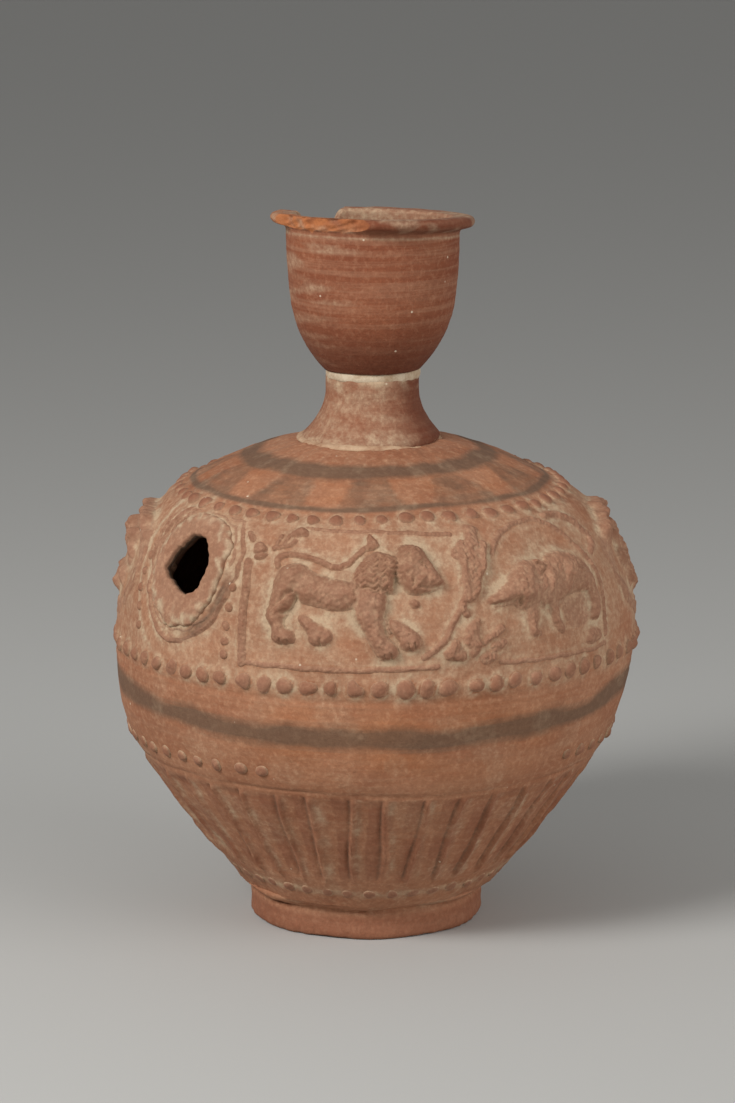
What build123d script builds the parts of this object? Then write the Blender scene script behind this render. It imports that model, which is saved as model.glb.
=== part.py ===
"""Terracotta aryballos flask: a fluted bowl, a frieze of sprigged reliefs, a narrow neck and a mouth cup.

The frame stands on the foot's centre with +Z up. An azimuth runs from the spout hole, which faces -Y,
towards +X, so it grows to the right of someone who looks at the spout.
"""
import os
from math import cos, degrees, pi, radians, sin, sqrt

from build123d import *

# Rises of the vessel, stacked from the resting face to the rim (mm)
FOOT_HEIGHT = 14.0
FLUTED_RISE = 52.0
SEAM_RISE = 14.0
EQUATOR_RISE = 23.0
FRIEZE_RISE = 49.0
SHOULDER_RISE = 20.3
NECK_FLARE_RISE = 17.7
NECK_STRAIGHT = 5.3
COLLAR_HEIGHT = 3.2
CUP_HEIGHT = 51.5

# Foot and bowls
FOOT_RADIUS = 43.3
FOOT_ROUND = 3.2
FOOT_TOP_RADIUS = 45.0
FOOT_BEVEL = 1.0
SOCKET_RADIUS = 34.0
SOCKET_DEPTH = 2.0
BOWL_FOOT_RADIUS = 46.0
BOWL_BULGE = 1.5
BODY_RADIUS = 92.0
UPPER_ARC = 76.0
SHOULDER_BULGE = 2.3
WALL = 5.0
LAP = 4.0
LUTE_GAP = 0.15
SLIP_FILM = 0.05
COIL_THICKNESS = 2.5
COIL_REACH = 8.0

# Flutes pressed into the lower bowl, and the turned line over them
FLUTE_COUNT = 38
FLUTE_DEPTH = 0.9
FLUTE_RIDGE = 2.2
FLUTE_FOOT_MARGIN = 12.0
FLUTE_TOP_MARGIN = 6.5
LINE_MARGIN = 3.0
LINE_RADIUS = 0.7

# Neck, collar and mouth cup
NECK_BORE = 11.0
NECK_SPIGOT = 16.4
NECK_BASE_RADIUS = 26.0
NECK_RADIUS = 16.5
BEAD_SIZE = 1.8
SEAT_MARGIN = 0.6
COLLAR_PROUD = 0.3
COLLAR_BULGE = 0.5
COLLAR_BORE_STEP = 1.0
CUP_BASE_RADIUS = 17.5
CUP_TURN_RISE = 22.5
CUP_TURN_RADIUS = 28.8
CUP_RADIUS = 30.5
CUP_BULGE = 1.7
CUP_WALL = 3.8
CUP_FLOOR = 6.0
FLANGE_RADIUS = 36.0
FLANGE_THICKNESS = 3.8
FLANGE_BEVEL = 1.0

# Old breaks in the rim, as azimuth spans in degrees
CHIP_SPAN = (-18.0, 48.0)
CHIP_LEFT_ON = 1.4
NOTCH_SPAN = (-106.0, -62.0)
NOTCH_DEPTH = 12.0

# Frieze panel, above the equator, and the panel height and body radius that the sprigs are drawn for
PANEL_MARGIN = 7.5
DRAWN_PANEL = 41.5
DRAWN_RADIUS = 92.0

# Rows of pearls
PEARL_LATITUDE = 12.0
FRIEZE_PEARLS = 71
FRIEZE_PEARL_RADIUS = 2.7
SHOULDER_PEARLS = 54
SHOULDER_PEARL_RADIUS = 2.5
SHOULDER_PEARL_SETBACK = 6.2
BELLY_PEARLS = 60
BELLY_PEARL_RADIUS = 2.3
BELLY_PEARL_RISE = 6.5
BELLY_WORN_SPAN = (28.0, 97.0)
FOOT_PEARLS = 43
FOOT_PEARL_RADIUS = 1.9
FOOT_PEARL_SETBACK = 8.5

# Places of the motifs on the half of the frieze that holds the spout, in degrees, and the turn to the
# other half
ROUNDEL_AT = 0.0
LION_AT = 44.0
TREE_AT = 72.5
BOAR_AT = 96.0
ROSETTE_AT = 140.0
HALF_TURN = 180.0

# Roundel, borders and beads
ROUNDEL_HALF_WIDTH = 15.5
ROUNDEL_GAP = 0.8
ROUNDEL_PROUD = 2.4
ROUNDEL_BORDER_HALF_WIDTH = 23.5
ROSETTE_BORDER_HALF_WIDTH = 28.5
BORDER_BAND = 2.2
BORDER_PROUD = 1.5
BEAD_AT = 18.4
BEAD_COUNT = 5
BEAD_RADIUS = 1.7
BEAD_FIRST_UP = 3.0
BEAD_STEP = 4.4
SPOUT_HOLE = [(2.5, 35.5), (9.0, 31.2), (9.2, 25.5), (4.0, 18.8), (-8.8, 23.2), (-6.5, 28.5), (-2.0, 36.0)]

# Lion panel frame, arch over the boar, and rosette
LION_FRAME_HALF_WIDTH = 35.3
FRAME_BAND = 1.6
FRAME_PROUD = 1.2
ARCH_HALF_WIDTH = 28.5
ARCH_SPRING_UP = 16.5
ARCH_LEFT_FOOT_UP = 25.0
ARCH_BAND = 2.4
ARCH_PROUD = 1.6
ROSETTE_PETALS = 8
PETAL_START = 5.2
PETAL_END = 12.0
PETAL_RADII = (2.4, 3.9)
BOSS_RADIUS = 5.0
BOSS_LENGTH = 1.0

# Figures as limbs: azimuth from the motif's centre (degrees), height over the panel foot and radius (mm)
# at each end of the limb. The figure's outline stands up as a low terrace, with thick limbs as a high one
LOW_TERRACE = 1.8
HIGH_TERRACE = 3.4
TERRACE_INSET = 1.3
THIN_LIMB = 0.6
LION_LIMBS = [
    ((-15.5, 24.3, 6.2), (2.0, 25.0, 6.8)),
    ((-16.8, 23.0, 6.7), (-16.6, 17.2, 4.2)),
    ((-17.7, 15.6, 3.3), (-15.5, 9.8, 2.4)),
    ((-15.0, 8.2, 2.7), (-11.8, 7.2, 2.3)),
    ((-11.0, 17.5, 3.2), (-8.0, 11.4, 2.2)),
    ((-7.6, 9.8, 2.3), (-5.0, 9.0, 2.0)),
    ((4.5, 27.3, 8.6), (8.5, 28.5, 8.1)),
    ((9.5, 30.3, 7.2), (15.5, 31.3, 6.2)),
    ((16.8, 29.3, 4.6), (20.8, 27.6, 3.3)),
    ((13.8, 23.4, 3.0), (15.8, 21.2, 2.2)),
    ((13.0, 36.6, 1.9), (13.8, 34.6, 2.3)),
    ((4.0, 20.5, 5.0), (6.0, 8.0, 3.0)),
    ((6.3, 5.6, 2.9), (9.0, 4.8, 2.6)),
    ((8.6, 18.5, 3.6), (11.8, 10.4, 2.4)),
    ((12.2, 8.9, 2.5), (14.6, 8.2, 2.2)),
    ((-17.4, 30.5, 1.9), (-12.4, 34.3, 1.6)),
    ((-12.6, 34.4, 1.7), (-4.2, 31.8, 1.5)),
    ((-4.4, 31.7, 1.6), (0.6, 32.0, 1.4)),
    ((0.4, 31.9, 1.5), (4.2, 36.0, 1.3)),
    ((4.5, 36.0, 1.9), (6.2, 38.2, 1.3)),
]
BOAR_LIMBS = [
    ((-3.0, 21.5, 9.0), (10.8, 17.6, 8.2)),
    ((0.6, 27.2, 4.4), (9.6, 25.6, 4.0)),
    ((-8.5, 22.2, 6.8), (-13.6, 20.4, 4.8)),
    ((-14.2, 20.0, 4.0), (-18.2, 18.8, 2.7)),
    ((-3.8, 31.0, 1.6), (-5.8, 27.4, 2.5)),
    ((-11.6, 15.6, 2.5), (-15.2, 15.9, 2.0)),
    ((-7.0, 14.5, 4.0), (-8.6, 6.2, 2.5)),
    ((0.2, 13.0, 3.8), (0.4, 5.2, 2.4)),
    ((13.0, 12.5, 4.6), (10.0, 4.4, 2.6)),
]
TREE_LIMBS = [
    ((-0.8, 18.6, 2.7), (0.8, 27.0, 2.4)),
    ((0.7, 26.8, 2.3), (2.9, 35.0, 2.2)),
    ((2.8, 34.6, 2.4), (4.4, 39.0, 1.9)),
    ((1.8, 38.8, 1.5), (3.4, 36.4, 1.8)),
    ((-0.7, 18.4, 2.5), (-2.9, 13.8, 2.1)),
    ((0.4, 12.6, 2.4), (5.2, 8.4, 2.6)),
    ((-1.4, 10.2, 2.3), (2.6, 4.4, 2.4)),
    ((3.2, 6.6, 2.2), (6.4, 3.4, 1.9)),
    ((-2.7, 13.4, 2.0), (0.6, 12.3, 2.2)),
]
SPRAY_LIMBS = [
    ((-21.4, 32.8, 2.0), (-21.2, 35.8, 2.6)),
    ((-20.6, 35.4, 1.4), (-15.6, 36.6, 1.1)),
    ((-16.0, 36.5, 1.2), (-14.4, 37.6, 1.7)),
]

# Levels that follow from the stacked rises
TURN_Z = FOOT_HEIGHT + FLUTED_RISE
SEAM_Z = TURN_Z + SEAM_RISE
EQUATOR_Z = SEAM_Z + EQUATOR_RISE
SHOULDER_Z = EQUATOR_Z + FRIEZE_RISE
SEAT_Z = SHOULDER_Z + SHOULDER_RISE
FLARE_Z = SEAT_Z + NECK_FLARE_RISE
NECK_TOP_Z = FLARE_Z + NECK_STRAIGHT
CUP_BASE_Z = NECK_TOP_Z + COLLAR_HEIGHT
RIM_Z = CUP_BASE_Z + CUP_HEIGHT
PANEL_Z = EQUATOR_Z + PANEL_MARGIN
PANEL_HEIGHT = FRIEZE_RISE - PANEL_MARGIN
RELIEF_SCALE = PANEL_HEIGHT / DRAWN_PANEL
GIRTH_SCALE = BODY_RADIUS / DRAWN_RADIUS
LIMB_SCALE = min(RELIEF_SCALE, GIRTH_SCALE)
PANEL_MIDDLE_Z = PANEL_Z + PANEL_HEIGHT / 2


def wall_arc(height):
    """Radius of the section arc at a level: a sphere under the equator, a tighter arc over it."""
    return UPPER_ARC if height > EQUATOR_Z else BODY_RADIUS


def wall_radius(height, inset=0.0):
    """Radius of the round body at a level, or of a face that lies inset under its skin."""
    arc = wall_arc(height)
    return BODY_RADIUS - arc + sqrt((arc - inset) ** 2 - (height - EQUATOR_Z) ** 2)


def wall_point(height, inset=0.0):
    """Section point of the body's skin at a level, moved square to the skin by the inset."""
    arc = wall_arc(height)
    share = (arc - inset) / arc
    centre = BODY_RADIUS - arc
    return (centre + (wall_radius(height) - centre) * share, EQUATOR_Z + (height - EQUATOR_Z) * share)


def outward(azimuth):
    """Level direction from the axis at an azimuth."""
    return Vector(sin(radians(azimuth)), -cos(radians(azimuth)), 0)


def section_plane(azimuth=90.0):
    """Upright plane through the axis, where X is the radius and Y the height."""
    direction = outward(azimuth)
    return Plane(origin=(0, 0, 0), x_dir=direction, z_dir=direction.cross(Vector(0, 0, 1)))


def panel_plane():
    """Upright plane that faces out at the spout, where X runs to the right and Y is the height."""
    return Plane(origin=(0, 0, 0), x_dir=(1, 0, 0), z_dir=outward(0))


def skin_plane(azimuth, radius, height, tangent):
    """Plane that lies on a turned skin, facing out, from the section's point and tangent."""
    direction = outward(azimuth)
    normal = direction * tangent.Y - Vector(0, 0, 1) * tangent.X
    place = direction * radius + Vector(0, 0, height)
    return Plane(origin=place, x_dir=Vector(0, 0, 1).cross(direction), z_dir=normal)


def limb_circle(azimuth, up, radius):
    """Round end of a limb, drawn on the panel plane as the limb is seen from straight ahead."""
    height = PANEL_Z + up * RELIEF_SCALE
    across = wall_radius(height) * sin(radians(azimuth))
    return Pos(across, height) * Circle(radius * LIMB_SCALE, mode=Mode.PRIVATE)


def terrace(limbs, inset, low, high):
    """Layer of a figure between two distances from the wall, each limb drawn smaller by the inset."""
    with BuildPart() as layer:
        frieze_skin(high, low)
        with BuildSketch(panel_plane()):
            for (start_at, start_up, start_radius), (end_at, end_up, end_radius) in limbs:
                start = limb_circle(start_at, start_up, start_radius - inset)
                end = limb_circle(end_at, end_up, end_radius - inset)
                make_hull(start.edges() + end.edges())
        extrude(amount=2 * BODY_RADIUS, mode=Mode.INTERSECT)
    return layer


def relief(limbs):
    """Sprigged figure in two terraces whose back lies on the frieze wall, facing the way the spout does."""
    low_layer = terrace(limbs, 0.0, SLIP_FILM, LOW_TERRACE)
    thick_limbs = [ends for ends in limbs if min(ends[0][2], ends[1][2]) > TERRACE_INSET + THIN_LIMB]
    with BuildPart() as figure:
        add(low_layer.part)
        if thick_limbs:
            high_layer = terrace(thick_limbs, TERRACE_INSET, LOW_TERRACE / 2, HIGH_TERRACE)
            add(high_layer.part)
    return figure


def frieze_skin(proud, base=SLIP_FILM):
    """Layer over the frieze wall, from its base to where it stands proud, added to the part being built."""
    with BuildSketch(section_plane()) as layer:
        with BuildLine():
            inner, outer = [
                ThreePointArc(
                    (BODY_RADIUS + lift, EQUATOR_Z),
                    wall_point(PANEL_MIDDLE_Z, inset=-lift),
                    wall_point(SHOULDER_Z, inset=-lift),
                )
                for lift in (base, proud)
            ]
            Line(inner @ 0, outer @ 0)
            Line(inner @ 1, outer @ 1)
        make_face()
    revolve(layer.sketch, axis=Axis.Z)


def border(half_width):
    """Oval band raised on the frieze wall, as high as the panel."""
    reach = half_width * GIRTH_SCALE
    with BuildPart() as band:
        frieze_skin(BORDER_PROUD)
        with BuildSketch(panel_plane()):
            with Locations((0, PANEL_MIDDLE_Z)):
                Ellipse(reach, PANEL_HEIGHT / 2)
                Ellipse(reach - BORDER_BAND, PANEL_HEIGHT / 2 - BORDER_BAND, mode=Mode.SUBTRACT)
        extrude(amount=2 * BODY_RADIUS, mode=Mode.INTERSECT)
    return band


def roundel_plate():
    """Oval plate inside the roundel's border, added to the part that is being built."""
    frieze_skin(ROUNDEL_PROUD)
    with BuildSketch(panel_plane()) as plate:
        with Locations((0, PANEL_MIDDLE_Z)):
            Ellipse(ROUNDEL_HALF_WIDTH * GIRTH_SCALE, PANEL_HEIGHT / 2 - BORDER_BAND - ROUNDEL_GAP)
    extrude(plate.sketch, amount=2 * BODY_RADIUS, mode=Mode.INTERSECT)


def spout_hole():
    """Ragged pouring hole, cut through the part that is being built."""
    with BuildSketch(panel_plane()) as hole:
        with BuildLine():
            corners = [(across * GIRTH_SCALE, PANEL_Z + up * RELIEF_SCALE) for across, up in SPOUT_HOLE]
            Polyline(*corners, close=True)
        make_face()
    extrude(hole.sketch, amount=2 * BODY_RADIUS, mode=Mode.SUBTRACT)


def pearl_row(places, radius):
    """Row of low domes, each on its own plane on the skin."""
    with BuildPart() as row:
        with Locations(*places):
            Sphere(
                radius,
                arc_size1=PEARL_LATITUDE,
                align=(Align.CENTER, Align.CENTER, Align.MIN),
            )
    return row


def write(builder, name, azimuth=0.0):
    """Turns a finished piece to its azimuth, labels it and writes it as one node."""
    piece = builder.part.rotate(Axis.Z, azimuth)
    piece.label = name
    export_step(piece, f"parts/{name}.step")


os.makedirs("parts", exist_ok=True)

# Section lines that several pieces share
turn_point = wall_point(TURN_Z)
bowl_line = SagittaArc((BOWL_FOOT_RADIUS, FOOT_HEIGHT), turn_point, -BOWL_BULGE)
seat_radius = NECK_BASE_RADIUS + BEAD_SIZE + SEAT_MARGIN
shoulder_line = SagittaArc(wall_point(SHOULDER_Z), (seat_radius, SEAT_Z), -SHOULDER_BULGE)
neck_hole = NECK_SPIGOT + LUTE_GAP
lap_radius = wall_radius(SEAM_Z, WALL / 2)
lap_top = SEAM_Z + LAP
lap_inner = (wall_radius(lap_top, WALL), lap_top)

# Foot: a thrown disc with a flat resting face and a shallow socket for the bowl
with BuildPart() as foot:
    with BuildSketch(section_plane()):
        with BuildLine():
            rest = Line((0, 0), (FOOT_RADIUS - FOOT_ROUND, 0))
            heel = TangentArc(rest @ 1, (FOOT_RADIUS, FOOT_ROUND), tangent=(1, 0))
            Polyline(
                heel @ 1,
                (FOOT_TOP_RADIUS, FOOT_HEIGHT - FOOT_BEVEL),
                (FOOT_TOP_RADIUS - FOOT_BEVEL, FOOT_HEIGHT),
                (SOCKET_RADIUS, FOOT_HEIGHT),
                (SOCKET_RADIUS, FOOT_HEIGHT - SOCKET_DEPTH),
                (0, FOOT_HEIGHT - SOCKET_DEPTH),
                rest @ 0,
            )
        make_face()
    revolve(axis=Axis.Z)
write(foot, "foot_disc")

# Lower bowl: pressed in a fluted mould, with a boss for the foot and a half lap for the upper bowl
fluted_slope = (turn_point[0] - BOWL_FOOT_RADIUS) / FLUTED_RISE
floor_z = FOOT_HEIGHT + WALL
floor_radius = BOWL_FOOT_RADIUS + fluted_slope * WALL - WALL * sqrt(1 + fluted_slope**2)
with BuildPart() as lower_bowl:
    with BuildSketch(section_plane()):
        with BuildLine():
            boss_z = FOOT_HEIGHT - SOCKET_DEPTH
            boss_radius = SOCKET_RADIUS - LUTE_GAP
            boss_edge = (boss_radius, FOOT_HEIGHT)
            Polyline((0, floor_z), (0, boss_z), (boss_radius, boss_z), boss_edge, bowl_line @ 0)
            add(bowl_line)
            belly = ThreePointArc(turn_point, wall_point(TURN_Z + SEAM_RISE / 2), wall_point(SEAM_Z))
            Polyline(belly @ 1, (lap_radius, SEAM_Z), (lap_radius, lap_top), lap_inner)
            inner_turn = wall_point(TURN_Z, WALL)
            middle = (inner_turn[1] + lap_top) / 2
            ThreePointArc(lap_inner, (wall_radius(middle, WALL), middle), inner_turn)
            inner_line = SagittaArc(inner_turn, (floor_radius, floor_z), BOWL_BULGE)
            Line(inner_line @ 1, (0, floor_z))
        make_face()
    revolve(axis=Axis.Z)
    flute_start = bowl_line.position_at(FLUTE_FOOT_MARGIN, position_mode=PositionMode.LENGTH)
    flute_end = bowl_line.position_at(bowl_line.length - FLUTE_TOP_MARGIN, position_mode=PositionMode.LENGTH)
    flute_run = flute_end - flute_start
    flute_radii = []
    for wall_place in (flute_start, flute_end):
        half_width = (2 * pi * wall_place.X / FLUTE_COUNT - FLUTE_RIDGE) / 2
        flute_radii.append((half_width**2 + FLUTE_DEPTH**2) / (2 * FLUTE_DEPTH))
    flute_places = []
    for index in range(FLUTE_COUNT):
        facing = outward(360 * index / FLUTE_COUNT)
        slant = facing * flute_run.X + Vector(0, 0, flute_run.Y)
        normal = (facing * flute_run.Y - Vector(0, 0, flute_run.X)).normalized()
        start = facing * flute_start.X + Vector(0, 0, flute_start.Y) + normal * (flute_radii[0] - FLUTE_DEPTH)
        end = facing * flute_end.X + Vector(0, 0, flute_end.Y) + normal * (flute_radii[1] - FLUTE_DEPTH)
        flute_places.append(Plane(origin=start, x_dir=facing.cross(slant), z_dir=end - start))
    with Locations(*flute_places):
        Cone(
            flute_radii[0],
            flute_radii[1],
            flute_run.length,
            align=(Align.CENTER, Align.CENTER, Align.MIN),
            mode=Mode.SUBTRACT,
        )
    with Locations((0, 0, TURN_Z - LINE_MARGIN)):
        line_place = bowl_line.position_at(bowl_line.length - LINE_MARGIN, position_mode=PositionMode.LENGTH)
        Torus(line_place.X, LINE_RADIUS, mode=Mode.SUBTRACT)
write(lower_bowl, "lower_bowl")

# Upper bowl: the frieze wall and the shoulder, with the neck's hole and the pouring hole
with BuildPart() as upper_bowl:
    with BuildSketch(section_plane()):
        with BuildLine():
            low_outer = ThreePointArc(
                wall_point(SEAM_Z), wall_point(SEAM_Z + EQUATOR_RISE / 2), (BODY_RADIUS, EQUATOR_Z)
            )
            ThreePointArc(low_outer @ 1, wall_point(EQUATOR_Z + FRIEZE_RISE / 2), wall_point(SHOULDER_Z))
            add(shoulder_line)
            under_seat = (neck_hole, SEAT_Z - WALL)
            Polyline((seat_radius, SEAT_Z), (neck_hole, SEAT_Z), under_seat)
            under_shoulder = SagittaArc(under_seat, wall_point(SHOULDER_Z, WALL), SHOULDER_BULGE)
            high_inner = ThreePointArc(
                under_shoulder @ 1,
                wall_point(EQUATOR_Z + FRIEZE_RISE / 2, WALL),
                (BODY_RADIUS - WALL, EQUATOR_Z),
            )
            middle = (lap_top + EQUATOR_Z) / 2
            ThreePointArc(high_inner @ 1, (wall_radius(middle, WALL), middle), lap_inner)
            lap_outer = lap_radius + LUTE_GAP
            Polyline(lap_inner, (lap_outer, lap_top), (lap_outer, SEAM_Z), low_outer @ 0)
        make_face()
    revolve(axis=Axis.Z)
    spout_hole()
write(upper_bowl, "upper_bowl")

# Coil of clay smeared over the seam from inside
with BuildPart() as seam_coil:
    with BuildSketch(section_plane()):
        with BuildLine():
            coil_foot = (wall_radius(lap_top - COIL_REACH, WALL), lap_top - COIL_REACH)
            coil_head = (wall_radius(lap_top + COIL_REACH, WALL), lap_top + COIL_REACH)
            ThreePointArc(coil_foot, lap_inner, coil_head)
            ThreePointArc(coil_head, (lap_inner[0] - COIL_THICKNESS, lap_top), coil_foot)
        make_face()
    revolve(axis=Axis.Z)
write(seam_coil, "seam_coil")

# Neck: thrown, with a spigot in the shoulder's hole and a flared base on the seat
with BuildPart() as neck:
    with BuildSketch(section_plane()):
        with BuildLine():
            flare_foot = (NECK_BASE_RADIUS, SEAT_Z + BEAD_SIZE)
            flare = TangentArc((NECK_RADIUS, FLARE_Z), flare_foot, tangent=(0, -1))
            Polyline(
                flare @ 1,
                (NECK_BASE_RADIUS, SEAT_Z),
                (NECK_SPIGOT, SEAT_Z),
                (NECK_SPIGOT, SEAT_Z - WALL),
                (NECK_BORE, SEAT_Z - WALL),
                (NECK_BORE, NECK_TOP_Z),
                (NECK_RADIUS, NECK_TOP_Z),
                flare @ 0,
            )
        make_face()
    revolve(axis=Axis.Z)
write(neck, "neck")

# Bead of pale slip in the corner between the neck and the shoulder
with BuildPart() as neck_bead:
    with BuildSketch(section_plane()):
        with BuildLine():
            curve = RadiusArc(
                (NECK_BASE_RADIUS + BEAD_SIZE, SEAT_Z), (NECK_BASE_RADIUS, SEAT_Z + BEAD_SIZE), -BEAD_SIZE
            )
            Polyline(curve @ 1, (NECK_BASE_RADIUS, SEAT_Z), curve @ 0)
        make_face()
    revolve(axis=Axis.Z)
write(neck_bead, "neck_luting_bead")

# Collar of plaster that fills an old break between the neck and the cup
with BuildPart() as collar:
    with BuildSketch(section_plane()):
        with BuildLine():
            collar_radius = NECK_RADIUS + COLLAR_PROUD
            side = SagittaArc((collar_radius, NECK_TOP_Z), (collar_radius, CUP_BASE_Z), -COLLAR_BULGE)
            collar_bore = NECK_BORE + COLLAR_BORE_STEP
            Polyline(side @ 1, (collar_bore, CUP_BASE_Z), (collar_bore, NECK_TOP_Z), side @ 0)
        make_face()
    revolve(axis=Axis.Z)
write(collar, "plaster_collar")

# Mouth cup: thrown, with an out-turned flange that has lost a run of its edge and a piece of its wall
with BuildPart() as cup:
    cup_bore = NECK_BORE + 2 * COLLAR_BORE_STEP
    cup_turn_z = CUP_BASE_Z + CUP_TURN_RISE
    flange_z = RIM_Z - FLANGE_THICKNESS
    with BuildSketch(section_plane()):
        with BuildLine():
            bowl = SagittaArc((CUP_BASE_RADIUS, CUP_BASE_Z), (CUP_TURN_RADIUS, cup_turn_z), -CUP_BULGE)
            inside = SagittaArc(
                (CUP_TURN_RADIUS - CUP_WALL, cup_turn_z), (cup_bore, CUP_BASE_Z + CUP_FLOOR), CUP_BULGE
            )
            Polyline(
                bowl @ 1,
                (CUP_RADIUS, flange_z),
                (FLANGE_RADIUS - FLANGE_BEVEL, flange_z),
                (FLANGE_RADIUS, flange_z + FLANGE_BEVEL),
                (FLANGE_RADIUS, RIM_Z - FLANGE_BEVEL),
                (FLANGE_RADIUS - FLANGE_BEVEL, RIM_Z),
                (CUP_RADIUS - CUP_WALL + FLANGE_BEVEL, RIM_Z),
                (CUP_RADIUS - CUP_WALL, RIM_Z - FLANGE_BEVEL),
                inside @ 0,
            )
            Polyline(inside @ 1, (cup_bore, CUP_BASE_Z), bowl @ 0)
        make_face()
    revolve(axis=Axis.Z)
    chip_radius = CUP_RADIUS + CHIP_LEFT_ON
    for (first, last), lost_radius, lost_depth in (
        (CHIP_SPAN, chip_radius, FLANGE_THICKNESS + FLANGE_BEVEL),
        (NOTCH_SPAN, NECK_BORE, NOTCH_DEPTH),
    ):
        with BuildSketch(section_plane(first)):
            with Locations((lost_radius, RIM_Z - lost_depth)):
                Rectangle(FLANGE_RADIUS, 2 * lost_depth, align=(Align.MIN, Align.MIN))
        revolve(axis=Axis.Z, revolution_arc=last - first, mode=Mode.SUBTRACT)
write(cup, "mouth_cup")

# Rows of pearls on the shoulder, under the frieze, on the belly and over the foot
shoulder_place = shoulder_line.position_at(SHOULDER_PEARL_SETBACK, position_mode=PositionMode.LENGTH)
shoulder_run = shoulder_line.tangent_at(SHOULDER_PEARL_SETBACK, position_mode=PositionMode.LENGTH)
foot_place = bowl_line.position_at(FOOT_PEARL_SETBACK, position_mode=PositionMode.LENGTH)
foot_run = bowl_line.tangent_at(FOOT_PEARL_SETBACK, position_mode=PositionMode.LENGTH)
belly_z = TURN_Z + BELLY_PEARL_RISE
belly_radius = wall_radius(belly_z)
belly_run = Vector(EQUATOR_Z - belly_z, belly_radius).normalized()
belly_place = Vector(belly_radius, belly_z)
equator_place = Vector(BODY_RADIUS, EQUATOR_Z)
pearl_rows = {
    "shoulder_pearls": (SHOULDER_PEARLS, SHOULDER_PEARL_RADIUS, shoulder_place, shoulder_run, None),
    "frieze_pearls": (FRIEZE_PEARLS, FRIEZE_PEARL_RADIUS, equator_place, Vector(0, 1), None),
    "belly_pearls": (BELLY_PEARLS, BELLY_PEARL_RADIUS, belly_place, belly_run, BELLY_WORN_SPAN),
    "foot_pearls": (FOOT_PEARLS, FOOT_PEARL_RADIUS, foot_place, foot_run, None),
}
for name, (count, radius, place, run, worn) in pearl_rows.items():
    azimuths = [360 * index / count for index in range(count)]
    if worn:
        azimuths = [azimuth for azimuth in azimuths if not worn[0] < azimuth < worn[1]]
    write(pearl_row([skin_plane(azimuth, place.X, place.Y, run) for azimuth in azimuths], radius), name)

# Sprigs, each pressed once and set on both halves of the frieze
with BuildPart() as spout_roundel:
    roundel_plate()
    spout_hole()
with BuildPart() as blind_roundel:
    roundel_plate()

bead_places = []
for side in (-BEAD_AT, BEAD_AT):
    for index in range(BEAD_COUNT):
        radius, height = wall_point(PANEL_Z + (BEAD_FIRST_UP + index * BEAD_STEP) * RELIEF_SCALE)
        run = Vector(EQUATOR_Z - height, radius - BODY_RADIUS + UPPER_ARC).normalized()
        bead_places.append(skin_plane(side, radius, height, run))

with BuildPart() as lion_frame:
    frame_width = 2 * LION_FRAME_HALF_WIDTH * GIRTH_SCALE
    frieze_skin(FRAME_PROUD)
    with BuildSketch(panel_plane()):
        with Locations((0, PANEL_MIDDLE_Z)):
            Rectangle(frame_width, PANEL_HEIGHT)
            Rectangle(frame_width - 2 * FRAME_BAND, PANEL_HEIGHT - 2 * FRAME_BAND, mode=Mode.SUBTRACT)
    extrude(amount=2 * BODY_RADIUS, mode=Mode.INTERSECT)

with BuildPart() as arch:
    frieze_skin(ARCH_PROUD)
    with BuildSketch(panel_plane()):
        arch_reach = ARCH_HALF_WIDTH * GIRTH_SCALE
        spring_z = PANEL_Z + ARCH_SPRING_UP * RELIEF_SCALE
        for band, mode in ((0.0, Mode.ADD), (ARCH_BAND, Mode.SUBTRACT)):
            half_width = arch_reach - band
            with BuildLine():
                crown = ThreePointArc(
                    (-half_width, spring_z), (0, PANEL_Z + PANEL_HEIGHT - band), (half_width, spring_z)
                )
                Polyline(crown @ 1, (half_width, PANEL_Z), (-half_width, PANEL_Z), crown @ 0)
            make_face(mode=mode)
        with Locations((-arch_reach, PANEL_Z)):
            left_foot = ARCH_LEFT_FOOT_UP * RELIEF_SCALE
            Rectangle(arch_reach, left_foot, align=(Align.MIN, Align.MIN), mode=Mode.SUBTRACT)
    extrude(amount=2 * BODY_RADIUS, mode=Mode.INTERSECT)

middle_up = DRAWN_PANEL / 2
petal_girth = wall_radius(PANEL_MIDDLE_Z)
rosette_limbs = []
for index in range(ROSETTE_PETALS):
    lean = 2 * pi * index / ROSETTE_PETALS
    ends = []
    for reach, size in zip((PETAL_START, PETAL_END), PETAL_RADII):
        ends.append((degrees(reach * sin(lean) / petal_girth), middle_up + reach * cos(lean), size))
    rosette_limbs.append((ends[0], ends[1]))
boss_low = (0.0, middle_up - BOSS_LENGTH / 2, BOSS_RADIUS)
boss_high = (0.0, middle_up + BOSS_LENGTH / 2, BOSS_RADIUS)
rosette_limbs.append((boss_low, boss_high))

write(spout_roundel, "spout_roundel", ROUNDEL_AT)
write(blind_roundel, "blind_roundel", ROUNDEL_AT + HALF_TURN)
sprigs = {
    "roundel_border": (border(ROUNDEL_BORDER_HALF_WIDTH), ROUNDEL_AT),
    "roundel_beads": (pearl_row(bead_places, BEAD_RADIUS), ROUNDEL_AT),
    "lion_panel_frame": (lion_frame, LION_AT),
    "lion": (relief(LION_LIMBS), LION_AT),
    "flower_spray": (relief(SPRAY_LIMBS), LION_AT),
    "tree": (relief(TREE_LIMBS), TREE_AT),
    "boar_arch": (arch, BOAR_AT),
    "boar": (relief(BOAR_LIMBS), BOAR_AT),
    "rosette": (relief(rosette_limbs), ROSETTE_AT),
    "rosette_border": (border(ROSETTE_BORDER_HALF_WIDTH), ROSETTE_AT),
}
for name, (sprig, azimuth) in sprigs.items():
    write(sprig, f"{name}_front", azimuth)
    write(sprig, f"{name}_back", azimuth + HALF_TURN)
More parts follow.
